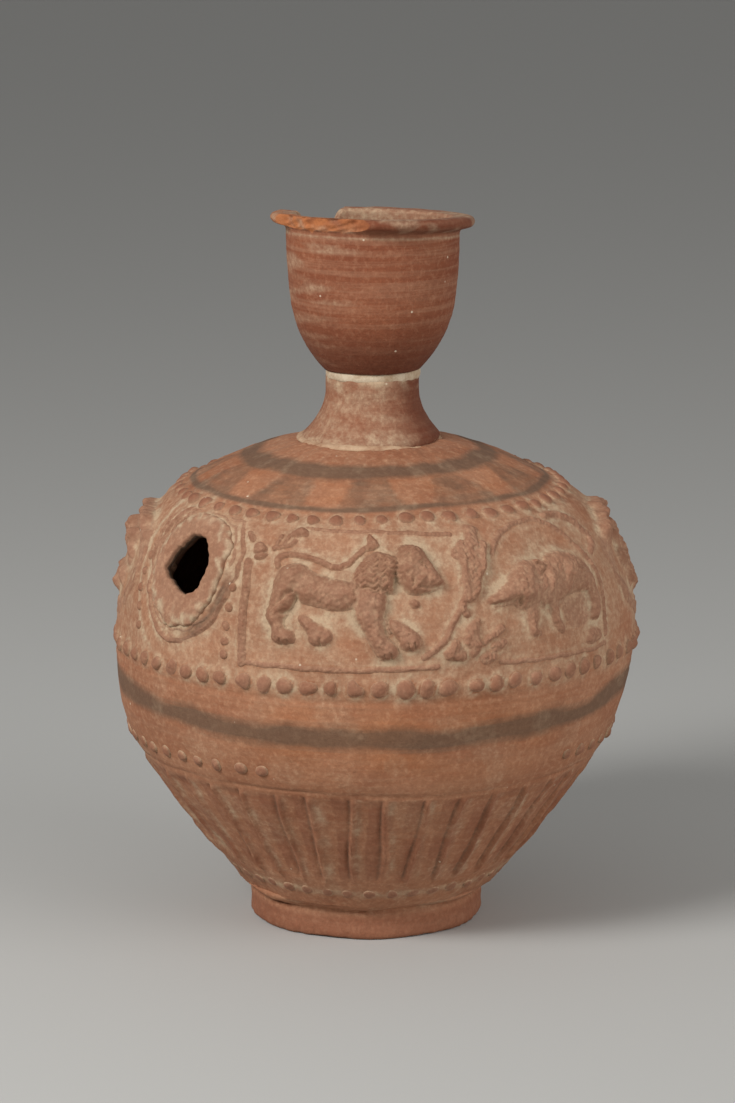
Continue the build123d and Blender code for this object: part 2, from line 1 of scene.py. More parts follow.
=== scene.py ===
import bpy
import numpy as np
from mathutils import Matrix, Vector


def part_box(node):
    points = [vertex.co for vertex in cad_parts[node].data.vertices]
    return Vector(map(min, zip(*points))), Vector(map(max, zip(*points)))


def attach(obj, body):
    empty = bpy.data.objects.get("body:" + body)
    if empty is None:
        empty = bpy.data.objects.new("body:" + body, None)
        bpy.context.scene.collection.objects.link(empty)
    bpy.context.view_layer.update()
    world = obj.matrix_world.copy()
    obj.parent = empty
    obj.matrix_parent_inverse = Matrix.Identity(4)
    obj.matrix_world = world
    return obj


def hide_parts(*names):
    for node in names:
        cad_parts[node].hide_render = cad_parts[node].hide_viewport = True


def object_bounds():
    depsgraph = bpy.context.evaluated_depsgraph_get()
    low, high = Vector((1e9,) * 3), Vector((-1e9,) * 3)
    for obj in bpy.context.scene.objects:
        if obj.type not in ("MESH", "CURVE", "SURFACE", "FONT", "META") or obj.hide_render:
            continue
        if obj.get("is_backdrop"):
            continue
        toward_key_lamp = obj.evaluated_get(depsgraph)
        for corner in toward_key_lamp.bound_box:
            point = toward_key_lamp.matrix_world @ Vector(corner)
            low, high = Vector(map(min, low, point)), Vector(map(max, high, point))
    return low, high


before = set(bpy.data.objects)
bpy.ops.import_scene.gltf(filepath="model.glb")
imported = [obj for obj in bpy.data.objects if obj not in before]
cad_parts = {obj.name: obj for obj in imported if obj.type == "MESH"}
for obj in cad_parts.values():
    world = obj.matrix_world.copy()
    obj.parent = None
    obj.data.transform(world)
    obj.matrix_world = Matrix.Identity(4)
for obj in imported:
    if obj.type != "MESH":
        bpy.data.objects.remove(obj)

cad_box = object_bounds()
MM = 0.001


def node_box(name):
    """Lowest and highest corner of a CAD node in millimetres."""
    low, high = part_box(name)
    return np.array(low) / MM, np.array(high) / MM


def middle_level(name):
    """Level half way up a CAD node, in millimetres."""
    return sum(corner[2] for corner in node_box(name)) / 2


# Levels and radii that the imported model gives, in millimetres
foot_high = node_box("foot_disc")[1]
upper_low, upper_high = node_box("upper_bowl")
bead_low, bead_high = node_box("neck_luting_bead")
neck_high = node_box("neck")[1]
collar_high = node_box("plaster_collar")[1]
cup_low, cup_high = node_box("mouth_cup")
panel_low, panel_high = node_box("lion_panel_frame_front")
FOOT_TOP = foot_high[2]
FOOT_TOP_RADIUS = foot_high[0]
SEAM = upper_low[2]
BODY_RADIUS = upper_high[0]
EQUATOR = middle_level("frieze_pearls")
PANEL_FOOT = panel_low[2]
SHOULDER_EDGE = panel_high[2]
PANEL_MIDDLE = (PANEL_FOOT + SHOULDER_EDGE) / 2
SEAT = bead_low[2]
BEAD_RADIUS = bead_high[0]
NECK_TOP = neck_high[2]
NECK_BASE_RADIUS = neck_high[0]
COLLAR_RADIUS = collar_high[0]
CUP_BASE = cup_low[2]
RIM = cup_high[2]
FLANGE_RADIUS = cup_high[0]
SHOULDER_PEARL_LEVEL = middle_level("shoulder_pearls")
BELLY_PEARL_LEVEL = middle_level("belly_pearls")
FOOT_PEARL_LEVEL = middle_level("foot_pearls")

# Section of the vessel that the boxes don't give, in millimetres
WALL = 5.0
UPPER_ARC = 76.0
BOWL_FOOT_RADIUS = 46.0
BOWL_TURN = 66.0
BOWL_BULGE = 0.8
SHOULDER_BULGE = 2.3
NECK_BORE = 11.0
NECK_RADIUS = 16.5
NECK_HOLE = 16.6
SOCKET_RADIUS = 34.0
FOOT_RADIUS = 43.3

# The vessel leans a little across the photograph's view: sideways shift at each level
VIEW_AZIMUTH = 50.0
LEAN_HEIGHTS = [0.0, 11.0, 16.0, 40.0, 66.0, 80.0, 92.0, 102.0, 114.0, 124.0, 150.0, 155.0]
LEAN_HEIGHTS += [162.0, 168.0, 172.0, 176.0]
LEAN_SHIFTS = [-2.3, -2.2, -1.2, -0.9, -0.5, -0.3, 0.5, 1.1, 1.8, 1.6, 0.6, -0.5]
LEAN_SHIFTS += [-1.5, -1.4, -0.6, 0.0]
ACROSS = np.array([np.cos(np.radians(VIEW_AZIMUTH)), np.sin(np.radians(VIEW_AZIMUTH))])


def smooth_step(low, high, value):
    """Rises softly from 0 to 1 as the value goes from low to high."""
    share = np.clip((value - low) / (high - low), 0.0, 1.0)
    return share * share * (3.0 - 2.0 * share)


def soft_span(value, rise, fall):
    """Rises softly from 0 to 1 over the first pair of values and falls back over the second."""
    return smooth_step(*rise, value) * (1 - smooth_step(*fall, value))


def bell(value, middle, width):
    """Round swell that is 1 at its middle and gone at about twice its width."""
    return np.exp(-(((value - middle) / width) ** 2))


def hand_wave(azimuth, along, length, seed, around=BODY_RADIUS, count=26):
    """Soft random waves of about the given length that close up round the given radius, about 1 high."""
    dice = np.random.default_rng(seed)
    azimuth = np.radians(azimuth)
    total = np.zeros(np.broadcast(azimuth, along).shape)
    for heading, stretch, phase in dice.random((count, 3)):
        pace = 2 * np.pi / length * (0.6 + 0.9 * stretch)
        round_count = np.round(pace * np.cos(2 * np.pi * heading) * around)
        climb = pace * np.sin(2 * np.pi * heading)
        total += np.cos(round_count * azimuth + climb * along + 2 * np.pi * phase)
    return total * np.sqrt(2.0 / count)


def place(azimuth, radius, height):
    """Points in metres from azimuth in degrees and radius and height in millimetres, with the lean."""
    angle = np.radians(azimuth)
    shift = np.interp(height, LEAN_HEIGHTS, LEAN_SHIFTS)
    across = radius * np.sin(angle) + shift * ACROSS[0]
    depth = -radius * np.cos(angle) + shift * ACROSS[1]
    return np.stack([across, depth, height + 0.0 * across], axis=-1) * MM


def from_spout(azimuth):
    """Azimuth from the spout in degrees, between -180 and 180."""
    return (azimuth + 180) % 360 - 180


def bowed(start, end, bulge, count=80):
    """Points of a shallow curve that swells square to its chord."""
    start = np.array(start)
    chord = np.array(end) - start
    share = np.linspace(0.0, 1.0, count)[:, None]
    square = np.array([chord[1], -chord[0]]) / np.hypot(*chord)
    return start + chord * share + square * (4 * bulge * share * (1 - share))


def round_section(arc, low, high, count=80):
    """Points of the body's round section between two levels."""
    height = np.linspace(low, high, count)
    return np.column_stack([BODY_RADIUS - arc + np.sqrt(arc**2 - (height - EQUATOR) ** 2), height])


def section_line(points, soften=0.0, step=0.25):
    """Section measured by its length, with softened corners and outward normals."""
    points = np.concatenate(points)
    gaps = np.hypot(*np.diff(points, axis=0).T)
    points = points[np.concatenate([[True], gaps > 1e-6])]
    length = np.concatenate([[0.0], np.cumsum(np.hypot(*np.diff(points, axis=0).T))])
    even = np.linspace(0.0, length[-1], int(length[-1] / step) + 2)
    line = np.column_stack([np.interp(even, length, points[:, axis]) for axis in (0, 1)])
    if soften:
        reach = int(3 * soften / step)
        weights = np.exp(-0.5 * (np.arange(-reach, reach + 1) * step / soften) ** 2)
        weights /= weights.sum()
        before = 2 * line[0] - line[reach:0:-1]
        after = 2 * line[-1] - line[-2:-reach - 2:-1]
        padded = np.concatenate([before, line, after])
        line = np.column_stack([np.convolve(padded[:, axis], weights, "valid") for axis in (0, 1)])
    along = np.concatenate([[0.0], np.cumsum(np.hypot(*np.diff(line, axis=0).T))])
    run = np.gradient(line, along, axis=0)
    run /= np.hypot(run[:, 0], run[:, 1])[:, None]
    return {"along": along, "r": line[:, 0], "z": line[:, 1], "out_r": run[:, 1], "out_z": -run[:, 0]}


def on_line(line, along, lift=0.0):
    """Radius and height of places along a section, lifted square to it."""
    values = [np.interp(along, line["along"], line[key]) for key in ("r", "z", "out_r", "out_z")]
    return values[0] + lift * values[2], values[1] + lift * values[3]


turn_radius = np.sqrt(BODY_RADIUS**2 - (BOWL_TURN - EQUATOR) ** 2)
edge_radius = BODY_RADIUS - UPPER_ARC + np.sqrt(UPPER_ARC**2 - (SHOULDER_EDGE - EQUATOR) ** 2)
seat_edge = BEAD_RADIUS - 1.3
outside = section_line(
    [
        bowed((BOWL_FOOT_RADIUS, FOOT_TOP), (turn_radius, BOWL_TURN), BOWL_BULGE),
        round_section(BODY_RADIUS, BOWL_TURN, EQUATOR),
        round_section(UPPER_ARC, EQUATOR, SHOULDER_EDGE),
        bowed((edge_radius, SHOULDER_EDGE), (seat_edge, SEAT), SHOULDER_BULGE),
        np.array([[NECK_HOLE, SEAT]]),
    ],
    soften=1.6,
)
rising = outside["z"] < SEAT - 0.2


def along_at(height):
    """Place along the outside section at a level."""
    return np.interp(height, outside["z"][rising], outside["along"][rising])


def girth(along):
    """Radius of the outside at a place along its section."""
    return np.interp(along, outside["along"], outside["r"])


# Flutes pressed into the bowl, and turned lines as level, depth and width
FLUTE_COUNT = 38
FLUTE_START = 0.3
FLUTE_DEPTH = 0.4
FLUTE_RIDGE = 0.95
FLUTE_FURROW = 0.55
FLUTE_FOOT = 26.0
FLUTE_HEAD = 61.0
flute_low = along_at(FLUTE_FOOT)
flute_high = along_at(FLUTE_HEAD)
TURNED_LINES = [(63.0, 0.6, 0.5), (98.2, 0.42, 0.6), (95.4, 0.2, 0.5), (92.2, 0.16, 0.7), (157.2, 0.3, 0.6)]


def flute_gap(azimuth, along):
    """Flute number, millimetres to the right of the nearest ridge, and share of the flute's width."""
    turn = azimuth / 360 * FLUTE_COUNT + FLUTE_START + 0.045 * hand_wave(azimuth, 0.35 * along, 20.0, 11)
    number = np.floor(turn).astype(int) % FLUTE_COUNT
    beside = turn - np.round(turn)
    return number, beside * 2 * np.pi * girth(along) / FLUTE_COUNT, turn - np.floor(turn)


def flutes(azimuth, along):
    """Shallow flutes, each with a thin ridge at its left and a furrow at its right, no two worn alike."""
    number, gap, share = flute_gap(azimuth, along)
    dice = np.random.default_rng(12)
    depth = FLUTE_DEPTH * (0.5 + 0.9 * dice.random(FLUTE_COUNT))[number]
    ends = smooth_step(flute_low - 2.0, flute_low + 6.0, along)
    ends = ends * (1 - smooth_step(flute_high - 3.0, flute_high + 0.3, along + 2.0 * (2 * share - 1) ** 2))
    worn = np.clip(0.85 + 0.3 * hand_wave(azimuth, along, 15.0, 13), 0.35, 1.3)
    ridge_ends = soft_span(along, (flute_low - 3.0, flute_low + 3.0), (flute_high - 1.6, flute_high + 0.6))
    raised = FLUTE_RIDGE * bell(gap, 0.2, 0.7) * worn * ridge_ends
    furrow = FLUTE_FURROW * bell(gap, -1.4, 0.75) * ridge_ends * worn
    return raised - furrow - depth * np.sin(np.pi * share) ** 0.8 * ends


def wall_skin(azimuth, along):
    """How far the real wall stands off its turned section: hand work, wheel marks and pressed flutes."""
    skin = 0.34 * hand_wave(azimuth, along, 130.0, 1)
    skin += 0.13 * hand_wave(azimuth, along, 34.0, 2)
    skin += 0.045 * hand_wave(azimuth, along, 8.0, 3)
    drift = 0.5 * hand_wave(azimuth, 0.0 * along, 260.0, 4)
    for level, depth, width in TURNED_LINES:
        gap = along - along_at(level) - drift
        skin -= depth * bell(gap, 0.0, width) * (0.8 + 0.35 * hand_wave(azimuth, along, 40.0, 5))
    return skin + flutes(azimuth, along)


# Canvas: a fine unrolled grid of the frieze zone, on which every sprig is drawn as a height over the wall
CANVAS_COLUMNS = 1920
CANVAS_TURN = 360 / CANVAS_COLUMNS
CANVAS_STEP = 0.3
CANVAS_LEVELS = (88.0, 163.0)
DRAWN_LEVELS = (89.0, 162.0)
canvas_azimuth = np.arange(CANVAS_COLUMNS) * CANVAS_TURN
canvas_along = np.arange(along_at(CANVAS_LEVELS[0]), along_at(CANVAS_LEVELS[1]), CANVAS_STEP)
canvas_girth = girth(canvas_along)
canvas_height = np.zeros((len(canvas_along), CANVAS_COLUMNS))


def blurred(height, spread, closed=False):
    """Height map softened by a Gaussian of the given spread in millimetres."""
    for axis, pitch in ((1, np.radians(CANVAS_TURN) * BODY_RADIUS), (0, CANVAS_STEP)):
        reach = max(1, int(3 * spread / pitch))
        weights = np.exp(-0.5 * (np.arange(-reach, reach + 1) * pitch / spread) ** 2)
        weights /= weights.sum()
        margin = [(0, 0), (0, 0)]
        margin[axis] = (reach, reach)
        padded = np.pad(height, margin, mode="wrap" if closed and axis == 1 else "edge")
        total = np.zeros(height.shape)
        for index, weight in enumerate(weights):
            cut = [slice(None), slice(None)]
            cut[axis] = slice(index, index + height.shape[axis])
            total += weight * padded[tuple(cut)]
        height = total
    return height


def window(centre, reach):
    """Part of the canvas round a motif: rows, columns, and distance across and along in millimetres."""
    low, high = along_at(np.array(DRAWN_LEVELS))
    rows = np.nonzero((canvas_along > low) & (canvas_along < high))[0]
    first = int(np.floor((centre - reach) / 360 * CANVAS_COLUMNS))
    last = int(np.ceil((centre + reach) / 360 * CANVAS_COLUMNS))
    columns = np.arange(first, last + 1)
    offset = np.radians(columns * CANVAS_TURN - centre)
    across = offset[None, :] * canvas_girth[rows][:, None]
    up = np.repeat(canvas_along[rows][:, None], len(columns), axis=1)
    return rows, columns, across, up


def spot(offset, level):
    """Distance across and along for an azimuth offset in degrees and a level."""
    along = along_at(level)
    return np.radians(offset) * girth(along), along


def along_chain(across, up, points):
    """Distance to each piece of a chain of points, and how far along that piece the nearest place lies."""
    for first, last in zip(points[:-1], points[1:]):
        first_x, first_y = spot(*first[:2])
        last_x, last_y = spot(*last[:2])
        run_x, run_y = last_x - first_x, last_y - first_y
        share = ((across - first_x) * run_x + (up - first_y) * run_y) / max(run_x**2 + run_y**2, 1e-6)
        share = np.clip(share, 0.0, 1.0)
        gap = np.hypot(across - first_x - share * run_x, up - first_y - share * run_y)
        yield gap, share, first, last


# A rolled limb spreads at its foot where it is pressed on
FOOT_SPREAD = 1.25


def stroke(across, up, points):
    """Height of a rolled limb: a chain of round swells given as offset, level, radius and height."""
    height = np.zeros(across.shape)
    for gap, share, first, last in along_chain(across, up, points):
        radius = FOOT_SPREAD * (first[2] + share * (last[2] - first[2]))
        swell = first[3] + share * (last[3] - first[3])
        height = np.maximum(height, swell * np.clip(1 - (gap / radius) ** 2, 0.0, 1.0) ** 0.8)
    return height


def scratched(across, up, cuts):
    """Depth of lines drawn in the clay, each given as depth, width and points as offset and level."""
    total = np.zeros(across.shape)
    for depth, width, points in cuts:
        line = np.zeros(across.shape)
        for chain in along_chain(across, up, points):
            line = np.maximum(line, bell(chain[0], 0.0, width))
        total += depth * line
    return total


def ridge(points, radius, height):
    """Points of a chain, each with the same radius and height."""
    return [(offset, level, radius, height) for offset, level in points]


def mound(across, up, corners, height, edge):
    """Height of a modelled mass from its outline, rounded over the width of its edge."""
    corners = np.array([spot(*corner) for corner in corners])
    before, after, beyond = (np.roll(corners, shift, axis=0) for shift in (1, -1, -2))
    curve = []
    for step in (0.0, 0.25, 0.5, 0.75):
        bend = (2 * before - 5 * corners + 4 * after - beyond) * step**2
        bend = bend + (3 * corners - before - 3 * after + beyond) * step**3
        curve.append(corners + 0.5 * ((after - before) * step + bend))
    curve = np.stack(curve, axis=1).reshape(-1, 2)
    inside = np.zeros(across.shape, bool)
    nearest = np.full(across.shape, 1e9)
    for (first_x, first_y), (last_x, last_y) in zip(curve, np.roll(curve, -1, axis=0)):
        run_x, run_y = last_x - first_x, last_y - first_y
        share = ((across - first_x) * run_x + (up - first_y) * run_y) / max(run_x**2 + run_y**2, 1e-9)
        share = np.clip(share, 0.0, 1.0)
        gap = np.hypot(across - first_x - share * run_x, up - first_y - share * run_y)
        nearest = np.minimum(nearest, gap)
        if first_y != last_y:
            crossing = first_x + (up - first_y) * run_x / run_y
            inside ^= ((first_y > up) != (last_y > up)) & (across < crossing)
    return height * inside * (1 - (1 - np.clip(nearest / edge, 0.0, 1.0)) ** 2) ** 0.8


# Outlines of the figures as offset in degrees from the motif's middle and level, with height and edge width
LION_MASSES = [
    # Far hind leg
    ([
        (-11.6, 126.2), (-9.9, 127.2), (-7.8, 125.4), (-6.0, 124.2), (-4.0, 122.2), (-3.4, 120.0),
        (-4.8, 117.5), (-7.6, 116.9), (-8.9, 118.7), (-9.4, 121.0), (-10.8, 123.6),
    ], 2.5, 2.6),
    # Far fore leg
    ([
        (7.6, 126.6), (9.4, 126.2), (11.2, 125.4), (13.0, 123.6), (14.6, 121.6), (15.3, 118.8),
        (14.4, 116.4), (12.7, 115.6), (11.0, 116.2), (10.0, 118.6), (8.9, 120.6), (7.8, 122.8),
    ], 2.8, 2.7),
    # Body
    ([
        (-14.5, 140.0), (-12.8, 143.1), (-10.3, 142.2), (-8.1, 140.5), (-5.1, 139.4), (-2.5, 138.6),
        (0.1, 138.0), (2.6, 138.0), (3.6, 130.3), (1.1, 129.2), (-0.6, 128.4), (-4.6, 128.4),
        (-6.2, 129.0), (-9.4, 129.8), (-11.5, 130.7), (-13.1, 132.5), (-14.3, 136.2),
    ], 3.7, 6.2),
    # Near hind leg
    ([
        (-17.3, 140.4), (-15.5, 142.3), (-12.8, 143.1), (-10.3, 142.2), (-9.0, 139.9), (-9.2, 137.0),
        (-10.5, 134.3), (-11.7, 131.5), (-12.6, 128.7), (-13.6, 126.4), (-14.3, 124.5), (-14.0, 122.8),
        (-12.7, 122.0), (-11.8, 120.3), (-11.7, 118.1), (-13.5, 116.7), (-15.8, 116.8), (-17.3, 118.1),
        (-17.5, 120.4), (-17.7, 122.1), (-18.6, 123.9), (-19.3, 126.3), (-18.7, 129.3), (-18.2, 132.9),
        (-18.2, 136.7),
    ], 4.4, 5.6),
    # Near fore leg
    ([
        (1.2, 134.0), (2.0, 136.1), (4.9, 136.6), (8.3, 134.5), (8.4, 131.4), (7.9, 128.4), (7.6, 125.3),
        (7.8, 122.4), (8.5, 120.2), (10.0, 118.2), (10.4, 115.6), (9.5, 113.2), (7.5, 112.6),
        (6.0, 113.4), (4.7, 116.4), (3.7, 119.4), (2.4, 123.0), (1.2, 126.1), (0.8, 130.2),
    ], 3.9, 4.2),
    # Head
    ([
        (10.9, 145.5), (11.7, 148.1), (13.5, 149.0), (15.6, 148.8), (17.7, 147.8), (18.7, 145.7),
        (19.8, 142.5), (20.7, 139.4), (21.5, 137.8), (21.7, 136.6), (20.9, 135.4), (19.6, 134.6),
        (18.2, 133.9), (16.8, 133.5), (15.2, 133.2), (13.7, 133.4), (12.4, 134.5), (11.0, 137.3),
        (9.9, 140.5),
    ], 4.2, 5.0),
    # Mane
    ([
        (0.4, 138.4), (0.9, 141.0), (2.3, 143.7), (4.1, 145.8), (6.6, 147.1), (9.1, 146.3), (11.1, 145.5),
        (12.0, 143.1), (11.6, 139.4), (10.7, 137.3), (10.2, 134.7), (9.3, 133.6), (8.1, 134.2),
        (6.8, 132.8), (5.5, 133.9), (3.9, 134.0), (2.6, 133.8), (1.4, 135.2), (0.6, 136.5),
    ], 4.6, 5.2),
    # Pellet below the chin
    ([
        (13.0, 131.3), (14.2, 132.5), (15.5, 131.5), (15.5, 129.9), (13.9, 129.3),
    ], 1.4, 1.6),
]
LION_TAIL = [
    ridge([
        (-17.6, 141.4), (-18.2, 143.1), (-17.4, 144.7), (-15.4, 145.5), (-13.2, 145.3), (-10.0, 144.8),
    ], 1.15, 1.3),
    ridge([
        (-10.0, 144.8), (-6.9, 143.7), (-4.6, 142.3), (-2.4, 142.2), (-0.2, 143.4), (1.8, 145.9),
        (3.9, 148.2),
    ], 1.1, 1.2),
]
LION_TUFT = [
    (3.7, 147.3), (4.0, 150.4), (4.9, 152.3), (6.1, 151.4), (7.3, 149.3), (6.8, 147.8), (5.1, 146.9),
]
BOAR_MASSES = [
    # Near fore leg
    ([
        (-10.7, 128.8), (-8.3, 128.9), (-7.9, 123.5), (-8.8, 119.9), (-7.7, 117.3), (-10.8, 117.0),
        (-11.3, 120.3), (-11.6, 124.2),
    ], 1.7, 1.7),
    # Far fore leg
    ([
        (-4.5, 127.5), (-1.3, 127.5), (-1.8, 122.1), (-0.6, 118.0), (-1.8, 116.0), (-3.8, 118.7),
        (-4.6, 122.3),
    ], 1.5, 1.7),
    # Swell of the ground under the belly
    ([
        (-1.0, 130.0), (4.0, 130.4), (9.6, 128.0), (9.6, 122.0), (7.6, 117.7), (2.1, 116.5),
        (-0.6, 121.8),
    ], 0.5, 2.4),
    # Hind leg
    ([
        (8.6, 131.0), (12.9, 129.5), (13.6, 125.9), (12.6, 120.4), (10.9, 117.4), (8.3, 118.8),
        (8.8, 123.2),
    ], 2.0, 2.4),
    # Hind hoof
    ([
        (5.9, 112.2), (7.8, 115.3), (11.1, 114.7), (11.9, 111.2), (9.5, 109.9), (6.4, 110.2),
    ], 1.4, 2.0),
    # Body
    ([
        (-9.0, 141.0), (-6.7, 141.6), (-3.5, 141.0), (0.6, 142.8), (4.8, 142.4), (9.1, 140.0),
        (12.4, 136.0), (13.6, 131.5), (13.0, 127.3), (9.6, 126.6), (5.7, 127.4), (1.7, 127.2),
        (-1.9, 125.6), (-4.7, 125.4), (-7.9, 126.0), (-11.1, 126.6), (-11.5, 131.0), (-10.6, 137.0),
    ], 3.9, 9.0),
    # Head and snout
    ([
        (-9.9, 141.4), (-7.4, 141.2), (-4.6, 136.7), (-5.0, 130.7), (-8.1, 127.2), (-12.6, 126.0),
        (-14.4, 127.9), (-17.0, 127.9), (-19.7, 128.3), (-20.9, 130.3), (-20.1, 131.8), (-17.8, 133.5),
        (-16.0, 135.4), (-13.9, 137.7), (-11.7, 139.9),
    ], 4.2, 6.0),
]
TREE_LIMBS = [
    [(3.9, 152.2, 2.2, 1.9), (2.6, 149.6, 2.0, 1.9), (1.4, 146.0, 2.6, 2.2)],
    [
        (5.2, 147.6, 1.6, 1.9), (4.2, 144.6, 2.0, 2.3), (1.9, 139.2, 1.9, 2.4), (0.2, 134.9, 1.7, 2.3),
        (-1.2, 131.2, 1.5, 1.9),
    ],
    [(-0.2, 148.0, 1.4, 1.5), (-1.2, 144.1, 2.0, 2.2), (-1.3, 140.3, 1.9, 2.3), (-1.6, 135.1, 1.6, 2.2)],
    [(2.2, 147.4, 2.6, 2.0), (1.3, 143.8, 3.0, 2.2), (0.3, 139.0, 2.4, 2.1), (-0.8, 134.8, 1.9, 2.0)],
    [(-1.6, 135.1, 1.6, 2.2), (-2.0, 131.3, 1.7, 2.0), (-3.1, 128.0, 1.6, 1.5)],
    [(-1.2, 123.8, 1.6, 1.2), (-1.6, 121.0, 2.2, 1.7), (-2.4, 117.6, 2.4, 1.9)],
    [(-6.6, 114.9, 2.8, 2.2), (-5.6, 113.6, 2.4, 2.0)],
    [(-1.2, 117.8, 2.0, 1.9), (-2.2, 114.4, 1.6, 1.2)],
    [(0.6, 112.2, 1.5, 1.1), (2.4, 111.3, 1.6, 1.3)],
    [(5.7, 121.0, 1.0, 1.1), (3.3, 119.3, 1.3, 1.5), (1.0, 117.3, 1.1, 1.1)],
    [(5.3, 117.0, 1.2, 1.3), (2.7, 114.5, 1.3, 1.3)],
]
SPRAY_LIMBS = [
    [
        (-19.8, 146.9, 0.9, 1.0), (-17.6, 147.5, 0.8, 0.9), (-15.4, 148.3, 0.8, 0.9),
        (-14.6, 149.8, 0.8, 0.8),
    ],
    [(-19.4, 148.4, 0.7, 0.8), (-18.6, 151.0, 0.7, 0.8)],
    [(-17.4, 148.6, 0.7, 0.8), (-16.4, 151.2, 0.8, 0.8)],
    [(-15.0, 151.6, 1.4, 1.2), (-12.8, 152.4, 1.8, 1.5)],
    [(-26.6, 149.0, 1.3, 1.0), (-27.6, 150.2, 1.2, 1.0)],
]
SPRAY_BUD = [
    (-25.3, 144.7), (-25.5, 147.4), (-24.0, 148.6), (-21.9, 147.1), (-21.0, 144.9), (-22.5, 142.7),
    (-24.5, 143.0),
]
LION_FRAME = [
    ridge([(-26.0, 142.0), (-25.6, 138.7), (-24.9, 127.8), (-24.7, 120.4), (-24.1, 109.6)], 1.6, 1.35),
    ridge([(-24.0, 109.4), (-10.2, 109.4), (-0.5, 109.3), (9.0, 109.7), (18.6, 110.2)], 0.9, 0.8),
    ridge([(-12.0, 153.7), (4.0, 153.0), (14.0, 152.3), (26.3, 151.2)], 0.75, 0.7),
    ridge([
        (25.2, 131.0), (24.6, 128.4), (22.4, 124.3), (20.6, 118.9), (18.2, 115.9), (15.8, 113.6),
    ], 1.0, 1.1),
]
ARCH_BAND = [
    ridge([
        (-16.4, 144.6), (-14.5, 148.0), (-11.7, 150.3), (-7.1, 152.2), (-2.2, 152.7), (2.2, 152.3),
    ], 0.9, 0.8),
    ridge([
        (2.2, 152.3), (5.0, 151.0), (7.9, 148.4), (10.5, 145.0), (12.8, 140.9), (14.8, 136.8),
        (16.1, 132.1),
    ], 0.9, 1.1),
    ridge([(16.1, 132.1), (15.9, 127.1), (15.0, 121.7), (14.0, 116.2), (13.6, 111.6)], 1.0, 1.0),
    ridge([
        (7.4, 152.7), (13.0, 152.3), (15.8, 150.3), (18.6, 146.9), (20.3, 143.4), (19.9, 140.5),
        (17.6, 139.3),
    ], 1.4, 1.5),
    ridge([(-19.0, 110.0), (-11.8, 109.0), (-2.0, 108.6), (7.8, 108.2), (13.6, 108.6)], 0.8, 0.6),
]
# Swells of the lion's flesh and face as rise, radius and points, and lines cut in the figures as depth, width
# and points
LION_MUSCLES = [
    (0.5, 5.0, [(-14.6, 136.6), (-15.4, 132.0)]),
    (0.5, 3.6, [(4.6, 131.0), (4.4, 127.6)]),
]
LION_FEATURES = [
    (0.7, 2.4, [(13.8, 140.2), (15.2, 138.2)]),
    (0.55, 1.2, [(15.2, 144.6), (17.2, 143.8), (18.6, 142.4)]),
    (0.5, 1.6, [(19.4, 140.6), (20.4, 137.8)]),
]
LION_CUTS = [
    (0.85, 0.5, [(-16.1, 128.7), (-14.6, 130.6), (-13.7, 132.6), (-12.6, 133.7)]),
    (1.1, 0.65, [(-14.9, 126.7), (-13.0, 128.1), (-11.8, 130.7), (-11.8, 132.6)]),
    (1.5, 0.75, [(10.4, 140.0), (10.3, 137.0), (9.9, 133.1)]),
    (1.2, 0.9, [(14.3, 138.0), (14.5, 136.4)]),
    (1.0, 0.75, [(16.6, 142.3), (17.8, 141.4)]),
    (0.6, 0.6, [(12.4, 143.6), (14.2, 144.8), (16.0, 143.8)]),
    (0.9, 0.45, [(21.4, 136.3), (19.8, 135.5), (17.6, 135.1), (15.6, 135.6)]),
    (0.5, 0.6, [(1.4, 134.4), (1.9, 130.4), (2.6, 127.0)]),
    (1.3, 0.5, [(8.2, 126.6), (8.5, 123.8), (9.2, 121.2), (10.3, 118.6)]),
]
LION_TOES = [
    (-14.8, 117.6), (-13.4, 117.2), (7.4, 113.6), (8.6, 114.0), (12.4, 117.0), (13.6, 117.4),
    (-6.2, 118.2),
]
LION_CUTS += [(0.7, 0.35, [(toe, level + 1.2), (toe + 0.2, level - 1.4)]) for toe, level in LION_TOES]
BOAR_CUTS = [
    (0.9, 0.5, [(-19.8, 128.9), (-17.0, 129.0), (-14.2, 129.4)]),
    (2.4, 0.95, [(-13.0, 129.4), (-12.7, 128.2)]),
    (0.9, 0.5, [(-3.2, 139.6), (-3.4, 137.6), (-5.2, 136.4)]),
    (0.5, 0.9, [(-4.4, 135.6), (-4.8, 131.4), (-7.2, 127.8)]),
    (0.5, 0.5, [(-12.4, 135.0), (-11.2, 134.4)]),
    (0.5, 0.6, [(1.0, 127.6), (5.0, 128.2), (8.6, 127.4)]),
]
BUD_CUTS = [(1.0, 0.5, [(-21.2, 145.6), (-23.0, 144.4), (-24.8, 144.2)])]


def modelled(across, up, limbs, soften=0.3):
    """Height of rolled strands that run together, smoothed as slip-wet clay is."""
    height = np.zeros(across.shape)
    for points in limbs:
        height = np.maximum(height, stroke(across, up, points))
    return blurred(height, soften)


def massed(across, up, masses, soften=0.45):
    """Height of a figure pressed in a mould: its rounded masses run together."""
    height = np.zeros(across.shape)
    for corners, rise, edge in masses:
        height = np.maximum(height, mound(across, up, corners, rise, edge))
    return blurred(height, soften)


def warped(across, up, reach, seed):
    """Places pushed about a little, so that repeated marks look cut by hand."""
    turn = np.degrees(across / BODY_RADIUS)
    across = across + reach * hand_wave(turn, up, 9.0, seed)
    return across, up + reach * hand_wave(turn, up, 9.0, seed + 1)


# Locks of the mane stand in columns of this width, and each is a slanted wave of this length
LOCK_WIDTH = 3.2
LOCK_LENGTH = 1.7


